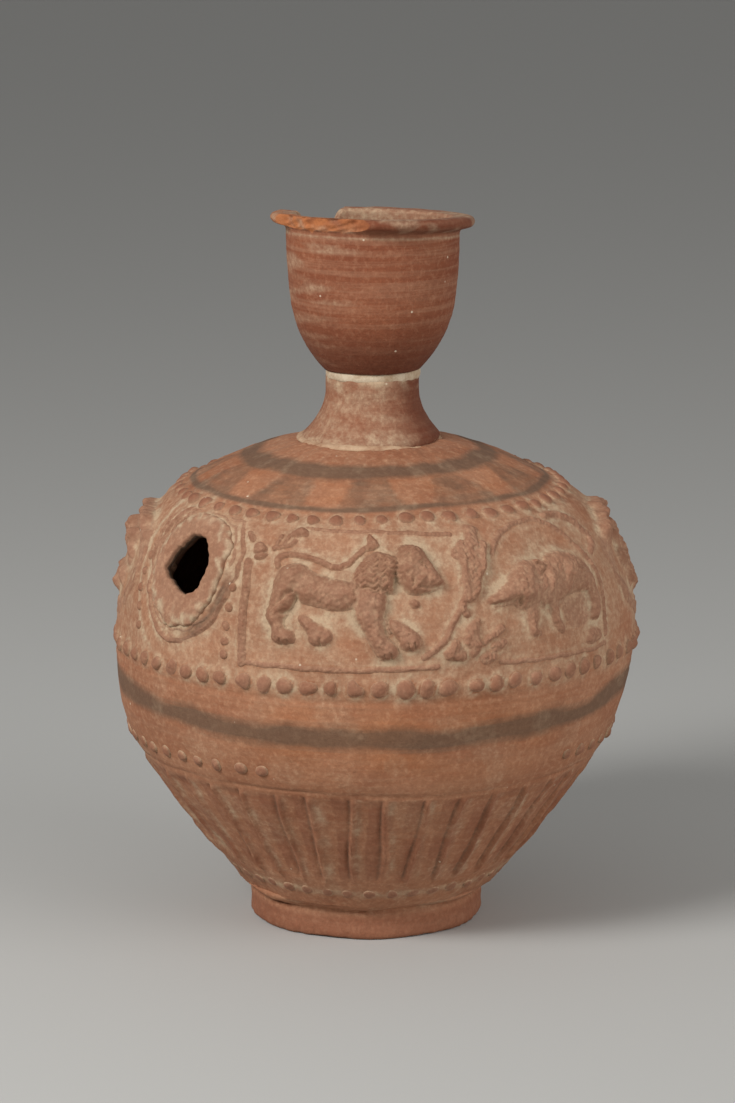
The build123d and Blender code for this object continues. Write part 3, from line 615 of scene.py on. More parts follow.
def lion(across, up):
    """Lion that walks to the right, with a mane of wavy locks and its tail raised over its back."""
    height = 1.15 * massed(across, up, LION_MASSES)
    body = np.clip(height / 1.2, 0.0, 1.0)
    mane_x, mane_y = spot(6.4, 139.6)
    bent_x, bent_y = warped(across - mane_x, up - mane_y, 0.3, 201)
    column = np.abs(bent_x / LOCK_WIDTH - np.round(bent_x / LOCK_WIDTH)) * LOCK_WIDTH
    locks = np.cos(2 * np.pi * (bent_y + 0.8 * column) / LOCK_LENGTH)
    crown_x, crown_y = spot(13.6, 146.9)
    crown = smooth_step(1.04, 0.7, np.hypot((across - crown_x) / 5.2, (up - crown_y) / 3.2))
    mane = smooth_step(1.04, 0.86, np.hypot((across - mane_x) / 8.6, (up - mane_y) / 7.2))
    height = height + 0.36 * np.maximum(mane, 0.6 * crown) * locks
    for rise, radius, points in LION_MUSCLES:
        height = height + rise * stroke(across, up, ridge(points, radius, 1.0))
    for rise, radius, points in LION_FEATURES:
        height = height + rise * body * stroke(across, up, ridge(points, radius, 1.0))
    height = np.clip(height - scratched(across, up, LION_CUTS) * body, 0.0, None)
    tail = np.maximum(modelled(across, up, LION_TAIL, 0.25), mound(across, up, LION_TUFT, 1.7, 1.6))
    return np.maximum(height, tail)


def boar(across, up):
    """Boar that stands with its snout low to the left and bristles over its hump."""
    height = 1.12 * massed(across, up, BOAR_MASSES, 0.6)
    body = np.clip(height / 1.2, 0.0, 1.0)
    bristle_x, bristle_y = spot(8.4, 136.6)
    bent_x, bent_y = warped(across, up, 0.5, 205)
    patch = np.exp(-(((across - bristle_x) / 6.0) ** 2) - ((up - bristle_y) / 4.6) ** 2)
    tufts = np.sin(2 * np.pi * (bent_x + 0.45 * bent_y) / 1.9)
    tufts = tufts * np.sin(2 * np.pi * (bent_y - 0.2 * bent_x) / 1.7)
    height = height + 0.36 * patch * tufts * body
    height = np.maximum(height, 3.4 * stroke(across, up, ridge([(-5.6, 140.0), (-3.4, 138.6)], 1.1, 1.0)))
    return np.clip(height - scratched(across, up, BOAR_CUTS) * body, 0.0, None)


def tree(across, up):
    """Knotty forked trunk over a heap of roots and rocks."""
    bent_x, bent_y = warped(across, up, 0.5, 209)
    height = modelled(bent_x, bent_y, TREE_LIMBS)
    bark = np.sin(2 * np.pi * (bent_y + 1.1 * bent_x) / 3.4)
    bark = bark * np.sin(2 * np.pi * (bent_x - 0.3 * bent_y) / 2.6)
    return np.clip(height + 0.2 * bark * np.clip(height / 1.2, 0.0, 1.0), 0.0, None)


def spray(across, up):
    """Spray of flowers: a bud on a stalk, curled leaves and an open flower."""
    height = np.maximum(1.35 * modelled(across, up, SPRAY_LIMBS, 0.2), mound(across, up, SPRAY_BUD, 2.3, 2.2))
    cut = scratched(across, up, BUD_CUTS)
    return np.clip(blurred(height, 0.25) - cut * np.clip(height, 0.0, 1.0), 0.0, None)


def lion_frame(across, up):
    """Thin raised line round the lion's panel."""
    bent_x, bent_y = warped(across, up, 0.14, 213)
    return modelled(bent_x, bent_y, LION_FRAME, 0.25)


def arch(across, up):
    """Thin raised arch over the boar, doubled at its right."""
    bent_x, bent_y = warped(across, up, 0.2, 217)
    return modelled(bent_x, bent_y, ARCH_BAND, 0.25)


# Edge of the roundel's plate and of the ragged pouring hole, as offset from the spout and level
PLATE_EDGE = [
    (-2.5, 153.2), (6.2, 152.3), (10.7, 148.5), (12.1, 141.9), (11.5, 134.4), (9.4, 126.1), (4.4, 118.9),
    (-2.6, 117.4), (-7.6, 122.6), (-10.7, 130.5), (-12.0, 137.5), (-10.8, 145.8), (-6.8, 151.1),
]
SPOUT_HOLE = [
    (-0.8, 146.6), (3.0, 146.7), (5.4, 144.2), (6.6, 142.0), (7.4, 138.9), (7.5, 135.4), (5.4, 130.0),
    (3.0, 128.2), (0.0, 129.4), (-3.6, 131.8), (-7.0, 134.6), (-5.8, 138.6), (-3.8, 142.4), (-2.4, 145.0),
]
ROUNDEL_PROUD = 2.4
roundel_middle = along_at(PANEL_MIDDLE)


def outline_reach(corners, middle, angle):
    """Distance from a middle to an outline in the direction of each angle in degrees."""
    corners = np.array([spot(*corner) for corner in corners]) - middle
    turn = np.degrees(np.arctan2(corners[:, 1], corners[:, 0]))
    return np.interp(angle, turn, np.hypot(corners[:, 0], corners[:, 1]), period=360)


hole_middle = np.mean([spot(*corner) for corner in SPOUT_HOLE], axis=0)


def round_hole(across, up):
    """Direction in degrees and distance from the middle of the pouring hole."""
    run, rise = across - hole_middle[0], up - hole_middle[1]
    return np.degrees(np.arctan2(rise, run)), np.hypot(run, rise)


def plate_gap(across, up):
    """Distance outside the roundel's plate, negative on it."""
    angle, distance = round_hole(across, up)
    return distance - outline_reach(PLATE_EDGE, hole_middle, angle)


def roundel_border(across, up):
    """Uneven ridges round the roundel, with short darts between them at its left."""
    bent_x, bent_y = warped(across, up, 0.45, 221)
    gap = plate_gap(bent_x, bent_y)
    turn = np.degrees(across / BODY_RADIUS)
    worn = np.clip(0.85 + 0.4 * hand_wave(turn, up, 13.0, 225), 0.25, 1.3)
    height = 1.0 * worn * bell(gap, 1.6, 0.65)
    height = np.maximum(height, 1.5 * worn * bell(gap, 4.6, 0.95))
    far_worn = np.clip(0.6 + 0.5 * hand_wave(turn, up, 9.0, 226), 0.0, 1.2) * smooth_step(4.0, -8.0, across)
    height = np.maximum(height, 1.2 * far_worn * bell(gap, 2.9, 0.5))
    for offset, level in ((-17.0, 150.0), (-16.9, 146.2), (-17.0, 141.6)):
        dart = ridge([(offset - 0.3, level - 1.3), (offset + 0.3, level + 1.3)], 1.0, 1.1)
        height = np.maximum(height, stroke(across, up, dart))
    inside = soft_span(gap, (0.2, 0.8), (8.6, 9.6))
    held = soft_span(up, along_at([107.8, 109.6]), along_at([153.4, 154.6]))
    lost = smooth_step(2.0, 9.0, across) * smooth_step(along_at(134.0), along_at(144.0), up)
    return blurred(height, 0.25) * inside * held * (1 - 0.6 * lost)


def blind_roundel(across, up):
    """Plate with a slightly dished face."""
    gap = plate_gap(across, up)
    return (ROUNDEL_PROUD + 0.3 * bell(gap, -1.6, 1.2)) * smooth_step(0.0, -1.1, gap)


def oval_gap(across, up, reach):
    """Distance from an oval edge round the panel's middle, outside it positive."""
    height = reach[1] / np.interp(PANEL_MIDDLE, outside["z"], outside["out_r"])
    ring = np.hypot(across / reach[0], (up - roundel_middle) / height)
    return (ring - 1) * (reach[0] + height) / 2


def rosette(across, up):
    """Worn rosette of eight cupped petals round a low boss."""
    distance = np.hypot(across, up - roundel_middle)
    turn = np.arctan2(across, up - roundel_middle)
    petal = np.cos(4 * turn) ** 2
    reach = 15.8 - 3.0 * (1 - petal)
    rise = 3.3 + 0.4 * smooth_step(0.0, 8.0, up - roundel_middle)
    height = rise * smooth_step(reach, reach - 4.4, distance) * (0.6 + 0.4 * petal)
    height -= 0.4 * bell(distance, 9.2, 2.6) * petal
    boss = 3.0 * np.sqrt(np.clip(1 - (distance / 5.4) ** 2, 0.0, 1.0))
    moat = bell(distance, 5.8, 0.8)
    return blurred(np.maximum(np.clip(height - 0.9 * moat, 0.0, None), boss), 0.5)


def rosette_border(across, up):
    """Two uneven ridges round the rosette."""
    bent_x, bent_y = warped(across, up, 0.5, 229)
    gap = oval_gap(bent_x, bent_y, (29.0, (SHOULDER_EDGE - PANEL_FOOT) / 2))
    worn = np.clip(0.9 + 0.3 * hand_wave(np.degrees(across / BODY_RADIUS), up, 11.0, 233), 0.3, 1.3)
    head = smooth_step(along_at(132.0), along_at(146.0), up)
    height = 0.8 * worn * bell(gap, -1.8, 1.4)
    height = np.maximum(height, 0.9 * worn * bell(gap, -4.6, 0.8))
    height = np.maximum(height, 3.9 * head * np.exp(-(((gap + 4.8) / 3.2) ** 4)))
    return blurred(height * smooth_step(0.9, -0.4, gap) * smooth_step(-8.8, -7.0, gap), 0.4)


# Where each motif stands, in degrees from the spout, and how far its canvas reaches to each side
SPRIGS = {
    "roundel_border": (roundel_border, 0.0, 21.0),
    "lion_panel_frame": (lion_frame, 44.0, 28.0),
    "lion": (lion, 44.0, 26.0),
    "flower_spray": (spray, 44.0, 30.0),
    "tree": (tree, 72.5, 11.0),
    "boar_arch": (arch, 96.0, 23.0),
    "boar": (boar, 96.0, 23.0),
    "rosette": (rosette, 140.0, 12.0),
    "rosette_border": (rosette_border, 140.0, 21.5),
}
HALF_TURN = 180.0
# The rosettes are worn unevenly from level to level: levels, and how proud the clay still stands there
PROUDER = {
    "rosette_back": (
        [116.0, 119.0, 122.0, 125.0, 128.0, 131.0, 134.0, 137.0, 140.0, 146.0],
        [2.2, 1.5, 1.05, 1.15, 0.55, 0.45, 1.35, 1.65, 1.85, 1.6],
    ),
    "rosette_border_back": ([145.0, 146.5, 148.0, 149.5], [1.3, 1.1, 0.45, 0.1]),
    "rosette_border_front": ([145.0, 147.0], [1.4, 1.0]),
}

drawn = {}
for sprig_name, (draw, centre, reach) in SPRIGS.items():
    rows, columns, across, up = window(centre, reach)
    height = draw(across, up)
    for side, turn in (("front", 0.0), ("back", HALF_TURN)):
        node = f"{sprig_name}_{side}"
        shifted = columns + int(round(turn / CANVAS_TURN))
        azimuth, along = shifted * CANVAS_TURN, canvas_along[rows][:, None]
        wear = 1 + 0.07 * hand_wave(azimuth, along, 11.0, 21) + 0.03 * hand_wave(azimuth, along, 4.5, 23)
        grit = 0.09 * hand_wave(azimuth, along, 1.9, 22) + 0.05 * hand_wave(azimuth, along, 3.2, 24)
        wear = np.clip(wear, 0.6, 1.15)
        if node in PROUDER:
            levels, shares = PROUDER[node]
            wear = wear * np.interp(along, along_at(levels), shares)
            grit = 0.4 * grit
            wear = wear * blurred(height, 0.8) / np.maximum(height, 0.2)
            wear = np.minimum(wear, 2.4)
        worn = np.clip(height * wear + grit * np.clip(height, 0.0, 1.0), 0.0, None)
        drawn[node] = (rows, shifted, worn)
rows, columns, across, up = window(HALF_TURN, 14.0)
drawn["blind_roundel"] = (rows, columns, blind_roundel(across, up))


def dome(azimuth, along, radius, height):
    """Adds a pearl's round swell to the canvas, so that the dirt round it is known."""
    reach = np.degrees(1.3 * radius / BODY_RADIUS) + 0.5
    first, last = (int(turn / 360 * CANVAS_COLUMNS) for turn in (azimuth - reach, azimuth + reach))
    columns = np.arange(first, last + 2)
    rows = np.nonzero(np.abs(canvas_along - along) < 1.3 * radius)[0]
    if not len(rows):
        return
    across = np.radians(columns * CANVAS_TURN - azimuth)[None, :] * canvas_girth[rows][:, None]
    gap = np.hypot(across, canvas_along[rows][:, None] - along)
    swell = height * np.sqrt(np.clip(1 - (gap / radius) ** 2, 0.0, 1.0))
    where = np.ix_(rows, columns % CANVAS_COLUMNS)
    canvas_height[where] = np.maximum(canvas_height[where], swell)


# Rows of pearls: count, level, radius, height, and how far worn
PEARL_ROWS = {
    "frieze_pearls": (71, EQUATOR, 2.75, 2.3, 0.25),
    "shoulder_pearls": (54, SHOULDER_PEARL_LEVEL, 2.5, 2.0, 0.25),
    "belly_pearls": (60, BELLY_PEARL_LEVEL - 2.3, 2.2, 1.5, 0.4),
    "foot_pearls": (43, FOOT_PEARL_LEVEL, 2.2, 0.5, 0.5),
}
# How red the tops of a row's pearls are
PEARL_STAIN = {"foot_pearls": 0.6, "shoulder_pearls": 0.85, "frieze_pearls": 0.55, "belly_pearls": 0.7}
# Azimuths between which the belly's pearls are lost, and runs that are crusted or rubbed as middle and width
WORN_BELLY = (28.0, 97.0)
CRUSTED_RUN = (57.0, 10.0)
RUBBED_RUN = (320.0, 16.0)
# The roundel's beads as offset and level, and their radius and height
BEAD_PLACES = [(15.2, 111.2), (15.1, 115.6), (15.0, 120.8), (15.1, 126.8), (15.2, 133.4)]
BEAD_PLACES += [(-14.6, 113.4), (-15.9, 119.6), (-17.2, 125.6), (-17.6, 131.2), (-17.6, 136.6)]
BEAD_SIZE = (1.7, 1.2)

pearls = {}
for row_name, (count, level, radius, height, worn) in PEARL_ROWS.items():
    dice = np.random.default_rng(len(row_name))
    seat = along_at(level)
    places = []
    for index in range(count):
        azimuth = 360 * index / count
        jitter = dice.normal(size=5)
        if row_name == "belly_pearls" and WORN_BELLY[0] < azimuth < WORN_BELLY[1]:
            continue
        crusted = 0.2 * bell(azimuth, CRUSTED_RUN[0], CRUSTED_RUN[1])
        size = radius * (1 + 0.07 * jitter[0] + crusted * (row_name == "frieze_pearls"))
        rise = height * np.clip(1 - worn * abs(jitter[1]) * 0.6, 0.45, 1.05)
        rise = rise * (1 - 0.5 * bell(azimuth, RUBBED_RUN[0], RUBBED_RUN[1]))
        places.append((azimuth + 0.25 * jitter[2], seat + 0.18 * jitter[3], size, rise))
    pearls[row_name] = places
for side, turn in (("front", 0.0), ("back", HALF_TURN)):
    beads = [(turn + offset, along_at(level), *BEAD_SIZE) for offset, level in BEAD_PLACES]
    pearls[f"roundel_beads_{side}"] = beads

for rows, columns, height in drawn.values():
    where = np.ix_(rows, columns % CANVAS_COLUMNS)
    canvas_height[where] = np.maximum(canvas_height[where], height)
for places in pearls.values():
    for place_of in places:
        dome(*place_of)
rows, columns, across, up = window(0.0, 14.0)
where = np.ix_(rows, columns % CANVAS_COLUMNS)
canvas_height[where] = np.maximum(canvas_height[where], blind_roundel(across, up))

hollows = blurred(canvas_height, 1.5, closed=True) - canvas_height
broad_hollows = blurred(canvas_height, 4.0, closed=True) - canvas_height
patchy = 0.8 + 0.4 * hand_wave(canvas_azimuth[None, :], canvas_along[:, None], 14.0, 25)
canvas_crust = 0.5 * np.clip(hollows / 0.5, 0.0, 1.0) + 0.2 * np.clip(broad_hollows / 0.8, 0.0, 1.0)
canvas_crust = canvas_crust * np.clip(patchy, 0.3, 1.25) * (1 - 0.8 * smooth_step(0.8, 2.2, canvas_height))
canvas_tops = 0.45 * np.clip(-hollows / 0.5, 0.0, 1.0)
fillet = 0.75 * np.clip(blurred(canvas_height, 1.2, closed=True), 0.0, 0.8)


def sample(canvas, azimuth, along):
    """Value of a canvas map at places on the wall, fading out past its edges."""
    column = (azimuth % 360) / 360 * CANVAS_COLUMNS
    row = np.clip((along - canvas_along[0]) / CANVAS_STEP, 0, len(canvas_along) - 1.001)
    column_low = np.floor(column).astype(int)
    row_low = np.floor(row).astype(int)
    column_share = column - column_low
    row_share = row - row_low
    left = column_low % CANVAS_COLUMNS
    right = (column_low + 1) % CANVAS_COLUMNS
    low = canvas[row_low, left] * (1 - column_share) + canvas[row_low, right] * column_share
    high = canvas[row_low + 1, left] * (1 - column_share) + canvas[row_low + 1, right] * column_share
    inside = (along >= canvas_along[0]) & (along <= canvas_along[-1])
    return (low * (1 - row_share) + high * row_share) * inside


# Painted bands on the wall: lower and upper level, waver, climb away from the lion and how crisp the edge is.
# The paint mark of a place is its distance inside an edge in millimetres, negative outside
NO_PAINT = -20.0
PAINT_BANDS = [(81.0, 88.5, 0.6, 5.4, 1.0), (166.3, 169.1, 0.35, 0.0, 1.0), (158.2, 159.4, 0.2, 0.0, 2.2)]
PETAL_COUNT = 11
PETAL_TURN = 51.2


def paint_edge(azimuth, along):
    """Distance inside the painted bands, and the thinner wash in the wedges between the shoulder's petals."""
    inside = np.full(np.broadcast(azimuth, along).shape, NO_PAINT)
    for low, high, waver, climb, crisp in PAINT_BANDS:
        climb = climb * np.sin(np.radians(azimuth - VIEW_AZIMUTH)) ** 4
        low_edge = along_at(low) + climb + waver * hand_wave(azimuth, 0.0 * along, 45.0, int(low))
        high_edge = along_at(high) + climb + waver * hand_wave(azimuth, 0.0 * along, 30.0, int(high))
        inside = np.maximum(inside, crisp * np.minimum(along - low_edge, high_edge - along))
    foot, head = along_at(PAINT_BANDS[2][1]), along_at(PAINT_BANDS[1][0])
    turn = (azimuth - PETAL_TURN) / 360 * PETAL_COUNT
    across = (turn - np.round(turn)) * 2 * np.pi * girth(along) / PETAL_COUNT
    across = across + 1.1 * hand_wave(azimuth, along, 22.0, 35)
    share = np.clip((along - foot) / (head - foot), 0.0, 1.0)
    wedge = 3.3 + 7.4 * (1 - share)
    wedge = np.minimum(wedge - np.abs(across), np.minimum(along - foot, head - along) + 1.0)
    wash = np.minimum(0.7 * wedge, -0.15 + 0.25 * hand_wave(azimuth, along, 14.0, 36))
    return np.maximum(inside, wash)


def plate_soil_and_shade(azimuth, along):
    """Grey dirt and painted shade in the hollow at the roundel's lower right, as a distance inside a painted
    patch.
    """
    across = np.radians(from_spout(azimuth)) * girth(along)
    angle = round_hole(across, along)[0]
    band = 2.4 - np.abs(plate_gap(across, along) - 2.7)
    return np.minimum(band, 0.1 * (42.0 - np.abs(angle + 46.0))) - 0.8


def orange_glow(azimuth, along):
    """Brighter orange slip: on the petals of the shoulder and beside the belly's band in two broad runs."""
    belly = bell(along, along_at(84.0), 13.0)
    belly = belly * smooth_step(-0.1, 1.0, np.cos(np.radians(2 * (azimuth - 57.0))))
    shoulder = soft_span(along, along_at([159.0, 161.0]), along_at([166.0, 168.0]))
    patchy = np.clip(0.8 + 0.35 * hand_wave(azimuth, 2.5 * along, 40.0, 37), 0.0, 1.3)
    return (0.45 * belly + 0.17 * shoulder) * patchy


# Marks that a piece carries from point to point, with their value on a bare surface: pale crust in hollows,
# worn tops, dark paint and bright fresh clay. The tops and the dark paint also carry painted shade in places
MARKS = {"crust": 0.0, "tops": 0.0, "paint": NO_PAINT, "fresh": 0.0}


class Clay:
    """Vertices and faces of one piece while it is built."""

    def __init__(self):
        self.points = []
        self.marks = []
        self.quads = []
        self.triangles = []
        self.sharp = []
        self.count = 0

    def add(self, points, **marks):
        """Adds a block of points and returns their numbers in the same layout."""
        shape = points.shape[:-1]
        self.points.append(points.reshape(-1, 3))
        size = int(np.prod(shape))
        self.marks.append({key: np.broadcast_to(value, shape).reshape(-1) for key, value in marks.items()})
        numbers = np.arange(self.count, self.count + size).reshape(shape)
        self.count += size
        return numbers

    def sheet(self, numbers, closed=True, keep=None, flip=False):
        """Quads over a grid of rows that climb and columns that run to the right, seen from outside."""
        right = np.roll(numbers, -1, axis=1) if closed else numbers[:, 1:]
        left = numbers if closed else numbers[:, :-1]
        cells = np.stack([left[:-1], right[:-1], right[1:], left[1:]], axis=-1)
        if keep is not None:
            cells = cells[keep]
        cells = cells.reshape(-1, 4)
        self.quads.append(cells[:, ::-1] if flip else cells)

    def zip_rings(self, first, last, first_turn, last_turn, sharp=False):
        """Triangles between two closed rings whose points run the same way, with the first ring below."""
        first_turn = np.append(first_turn, first_turn[0] + 360)
        last_turn = np.append(last_turn, last_turn[0] + 360)
        one, two = 0, 0
        faces = []
        while one < len(first) or two < len(last):
            step_one = two >= len(last) or (one < len(first) and first_turn[one + 1] <= last_turn[two + 1])
            if step_one:
                faces.append((first[one], first[(one + 1) % len(first)], last[two % len(last)]))
                one += 1
            else:
                faces.append((first[one % len(first)], last[(two + 1) % len(last)], last[two]))
                two += 1
        self.triangles.append(np.array(faces))
        if sharp:
            self.sharp += [first, last]

    def fan(self, ring, centre, flip=False):
        """Triangles from a ring to one point, facing out for a ring that runs to the right below it."""
        following = np.roll(ring, -1)
        faces = np.column_stack([ring, following, np.full(len(ring), centre)])
        self.triangles.append(faces[:, ::-1] if flip else faces)

    def fire(self, name, nodes, material):
        """Makes the mesh object, sets it on the model's body and hides its CAD nodes."""
        points = np.concatenate(self.points)
        quads = np.concatenate(self.quads) if self.quads else np.zeros((0, 4), int)
        triangles = np.concatenate(self.triangles) if self.triangles else np.zeros((0, 3), int)
        mesh = bpy.data.meshes.new(name)
        mesh.vertices.add(len(points))
        mesh.vertices.foreach_set("co", points.astype(np.float32).ravel())
        corners = np.concatenate([quads.ravel(), triangles.ravel()]).astype(np.int32)
        starts = np.concatenate([np.arange(len(quads)) * 4, len(quads) * 4 + np.arange(len(triangles)) * 3])
        mesh.loops.add(len(corners))
        mesh.loops.foreach_set("vertex_index", corners)
        mesh.polygons.add(len(starts))
        mesh.polygons.foreach_set("loop_start", starts.astype(np.int32))
        mesh.update(calc_edges=True)
        mesh.polygons.foreach_set("use_smooth", np.ones(len(starts), bool))
        if self.sharp:
            on_ring = np.zeros(len(points), bool)
            on_ring[np.concatenate(self.sharp)] = True
            ends = np.zeros(2 * len(mesh.edges), np.int32)
            mesh.edges.foreach_get("vertices", ends)
            both = on_ring[ends[0::2]] & on_ring[ends[1::2]]
            mesh.attributes.new("sharp_edge", "BOOLEAN", "EDGE").data.foreach_set("value", both)
        for key, bare in MARKS.items():
            values = np.concatenate([
                block.get(key, np.full(len(block_points), bare))
                for block, block_points in zip(self.marks, self.points)
            ])
            mesh.attributes.new(key, "FLOAT", "POINT").data.foreach_set("value", values.astype(np.float32))
        mesh.materials.append(material)
        mesh.validate()
        piece = bpy.data.objects.new(name, mesh)
        bpy.context.scene.collection.objects.link(piece)
        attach(piece, "root")
        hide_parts(*nodes)
        return piece


def linear(colour):
    """sRGB hex to a linear colour with alpha."""
    parts = [int(colour[index:index + 2], 16) / 255 for index in (1, 3, 5)]
    return [part / 12.92 if part <= 0.04045 else ((part + 0.055) / 1.055) ** 2.4 for part in parts] + [1.0]


def add_node(tree, kind, settings=None, **links):
    """Adds a node, sets its values by property or socket name, and links sockets given by name."""
    node = tree.nodes.new(kind)
    for key, value in (settings or {}).items():
        if isinstance(key, int) or key in node.inputs:
            node.inputs[key].default_value = value
        else:
            setattr(node, key, value)
    for key, source in links.items():
        socket = node.inputs[int(key[1:])] if key[0] == "_" and key[1:].isdigit() else node.inputs[key]
        tree.links.new(source, socket)
    return node


def terracotta(name, light, dark, red, worn, streaks, flecks):
    """Fired terracotta, thrown or pressed by hand, under a thin worn slip: a matt, mottled surface with
    turned streaks, pale lime in its hollows, redder worn tops, washed dark paint and a sandy grain. The worn
    tops and the dark paint layers also lay painted shade on some pieces."""
    material = bpy.data.materials.new(name)
    material.use_nodes = True
    tree = material.node_tree
    shader = tree.nodes["Principled BSDF"]
    shader.inputs["IOR"].default_value = 1.5
    shader.inputs["Specular IOR Level"].default_value = 0.25
    where = add_node(tree, "ShaderNodeTexCoord").outputs["Object"]
    # Width of each pattern in millimetres. The wheel's streaks are about 55 long and 1.6 high. Sand of some
    # 0.3 is too fine to show, so the grain is drawn three times as coarse
    squeezed = add_node(tree, "ShaderNodeMapping", {"Scale": (18.0, 18.0, 620.0)}, Vector=where).outputs[0]
    noise = {}
    for key, size, roughness, source in (
        ("mottle", 38.0, 0.6, where),
        ("cloud", 9.0, 0.65, where),
        ("fleck", 2.0, 0.6, where),
        ("grain", 0.9, 0.7, where),
        ("wheel", 1000.0, 0.62, squeezed),
    ):
        settings = {"Scale": 1 / (size * MM), "Detail": 5.0, "Roughness": roughness}
        noise[key] = add_node(tree, "ShaderNodeTexNoise", settings, Vector=source).outputs["Fac"]
    mark = {}
    for key in MARKS:
        mark[key] = add_node(tree, "ShaderNodeAttribute", {"attribute_name": key}).outputs["Fac"]
    # The lime is broken up by flecks and clouds, and the paint's edge by clouds and the brush
    settings = {"operation": "MULTIPLY_ADD", 1: 3.4, 2: -1.0}
    broken = add_node(tree, "ShaderNodeMath", settings, _0=noise["fleck"]).outputs[0]
    settings = {"operation": "MULTIPLY_ADD", 1: 1.2}
    broken = add_node(tree, "ShaderNodeMath", settings, _0=noise["cloud"], _2=broken).outputs[0]
    lime = add_node(tree, "ShaderNodeMath", {"operation": "MULTIPLY"}, _0=mark["crust"], _1=broken).outputs[0]
    settings = {"operation": "MULTIPLY_ADD", 1: 3.0, 2: -3.0}
    ragged = add_node(tree, "ShaderNodeMath", settings, _0=noise["cloud"]).outputs[0]
    settings = {"operation": "MULTIPLY_ADD", 1: 3.0}
    ragged = add_node(tree, "ShaderNodeMath", settings, _0=noise["wheel"], _2=ragged).outputs[0]
    edge = add_node(tree, "ShaderNodeMath", {"operation": "ADD"}, _0=mark["paint"], _1=ragged).outputs[0]
    # Specks of lime temper, about half a millimetre across, in some of the cells of a loose grid
    settings = {"Scale": 1 / (7.5 * MM), "Randomness": 1.0}
    cells = add_node(tree, "ShaderNodeTexVoronoi", settings, Vector=where).outputs
    chance = add_node(tree, "ShaderNodeSeparateColor", Color=cells["Color"]).outputs[0]
    bare = add_node(tree, "ShaderNodeMath", {"operation": "LESS_THAN", 1: 0.72}, _0=chance).outputs[0]
    speck = add_node(tree, "ShaderNodeMath", {"operation": "ADD"}, _0=cells["Distance"], _1=bare).outputs[0]
    tone = add_node(tree, "ShaderNodeMapRange", {"From Min": 0.34, "From Max": 0.66}, Value=noise["mottle"])
    settings = {"data_type": "RGBA", 6: linear(dark), 7: linear(light)}
    clay = add_node(tree, "ShaderNodeMix", settings, _0=tone.outputs[0]).outputs[2]
    # Layers over the clay: what drives each, the values between which it comes in, its most and its colour
    for source, low, high, most, colour in (
        (noise["cloud"], 0.42, 0.7, 1.6 * flecks, red),
        (noise["fleck"], 0.5, 0.68, flecks, "#C09A7A"),
        (noise["wheel"], 0.42, 0.75, streaks, "#B08A6E"),
        # The worn tops layer also paints shade low on the cup, on the flange past the chip and on the neck's
        # side away from the key lamp
        (mark["tops"], 0.0, 1.0, 0.7, worn),
        (mark["fresh"], 0.0, 1.0, 0.86, "#AF6B3F"),
        # The dark paint layer also paints shade in the flutes' furrows, in the pouring hole's throat and at
        # the roundel's lower right
        (edge, -1.9, 1.4, 0.74, "#5B4A3B"),
        (lime, 0.05, 1.1, 0.85, "#B79F82"),
        (speck, 0.07, 0.035, 0.75, "#D8C7AE"),
    ):
        span = {"From Min": low, "From Max": high, "To Max": most}
        share = add_node(tree, "ShaderNodeMapRange", span, Value=source).outputs[0]
        settings = {"data_type": "RGBA", 7: linear(colour)}
        clay = add_node(tree, "ShaderNodeMix", settings, _0=share, _6=clay).outputs[2]
    # Sandy grain darkens and lightens the surface a little everywhere, and roughens it
    settings = {"operation": "MULTIPLY_ADD", 1: 0.6}
    sand = add_node(tree, "ShaderNodeMath", settings, _0=noise["fleck"], _2=noise["grain"]).outputs[0]
    span = {"From Min": 0.45, "From Max": 1.15, "To Min": 0.78, "To Max": 1.2}
    shade = add_node(tree, "ShaderNodeMapRange", span, Value=sand).outputs[0]
    clay = add_node(tree, "ShaderNodeVectorMath", {"operation": "SCALE"}, _0=clay, Scale=shade).outputs[0]
    tree.links.new(clay, shader.inputs["Base Color"])
    dull = add_node(tree, "ShaderNodeMapRange", {"To Min": 0.7, "To Max": 0.95}, Value=noise["cloud"])
    tree.links.new(dull.outputs[0], shader.inputs["Roughness"])
    settings = {"operation": "MULTIPLY_ADD", 1: streaks}
    relief = add_node(tree, "ShaderNodeMath", settings, _0=noise["wheel"], _2=sand).outputs[0]
    bump = add_node(tree, "ShaderNodeBump", {"Strength": 0.7, "Distance": 0.3 * MM}, Height=relief)
    tree.links.new(bump.outputs[0], shader.inputs["Normal"])
    return material


def plaster(name, pale, shaded):
    """Plaster or slip laid by hand: chalky, pale and slightly soiled, with fine pores."""
    material = bpy.data.materials.new(name)
    material.use_nodes = True
    tree = material.node_tree
    shader = tree.nodes["Principled BSDF"]
    shader.inputs["Roughness"].default_value = 0.9
    shader.inputs["Specular IOR Level"].default_value = 0.2
    where = add_node(tree, "ShaderNodeTexCoord").outputs["Object"]
    # Soil in patches of about 6 mm, and pores drawn 0.9 mm wide so that they show
    settings = {"Scale": 1 / (6.0 * MM), "Detail": 6.0, "Roughness": 0.7}
    soil = add_node(tree, "ShaderNodeTexNoise", settings, Vector=where).outputs["Fac"]
    share = add_node(tree, "ShaderNodeMapRange", {"From Min": 0.35, "From Max": 0.68}, Value=soil).outputs[0]
    settings = {"data_type": "RGBA", 6: linear(pale), 7: linear(shaded)}
    chalk = add_node(tree, "ShaderNodeMix", settings, _0=share).outputs[2]
    tree.links.new(chalk, shader.inputs["Base Color"])
    pores = add_node(tree, "ShaderNodeTexNoise", {"Scale": 1 / (0.9 * MM), "Detail": 3.0}, Vector=where)
    settings = {"Strength": 0.5, "Distance": 0.2 * MM}
    bump = add_node(tree, "ShaderNodeBump", settings, Height=pores.outputs["Fac"])
    tree.links.new(bump.outputs[0], shader.inputs["Normal"])
    return material


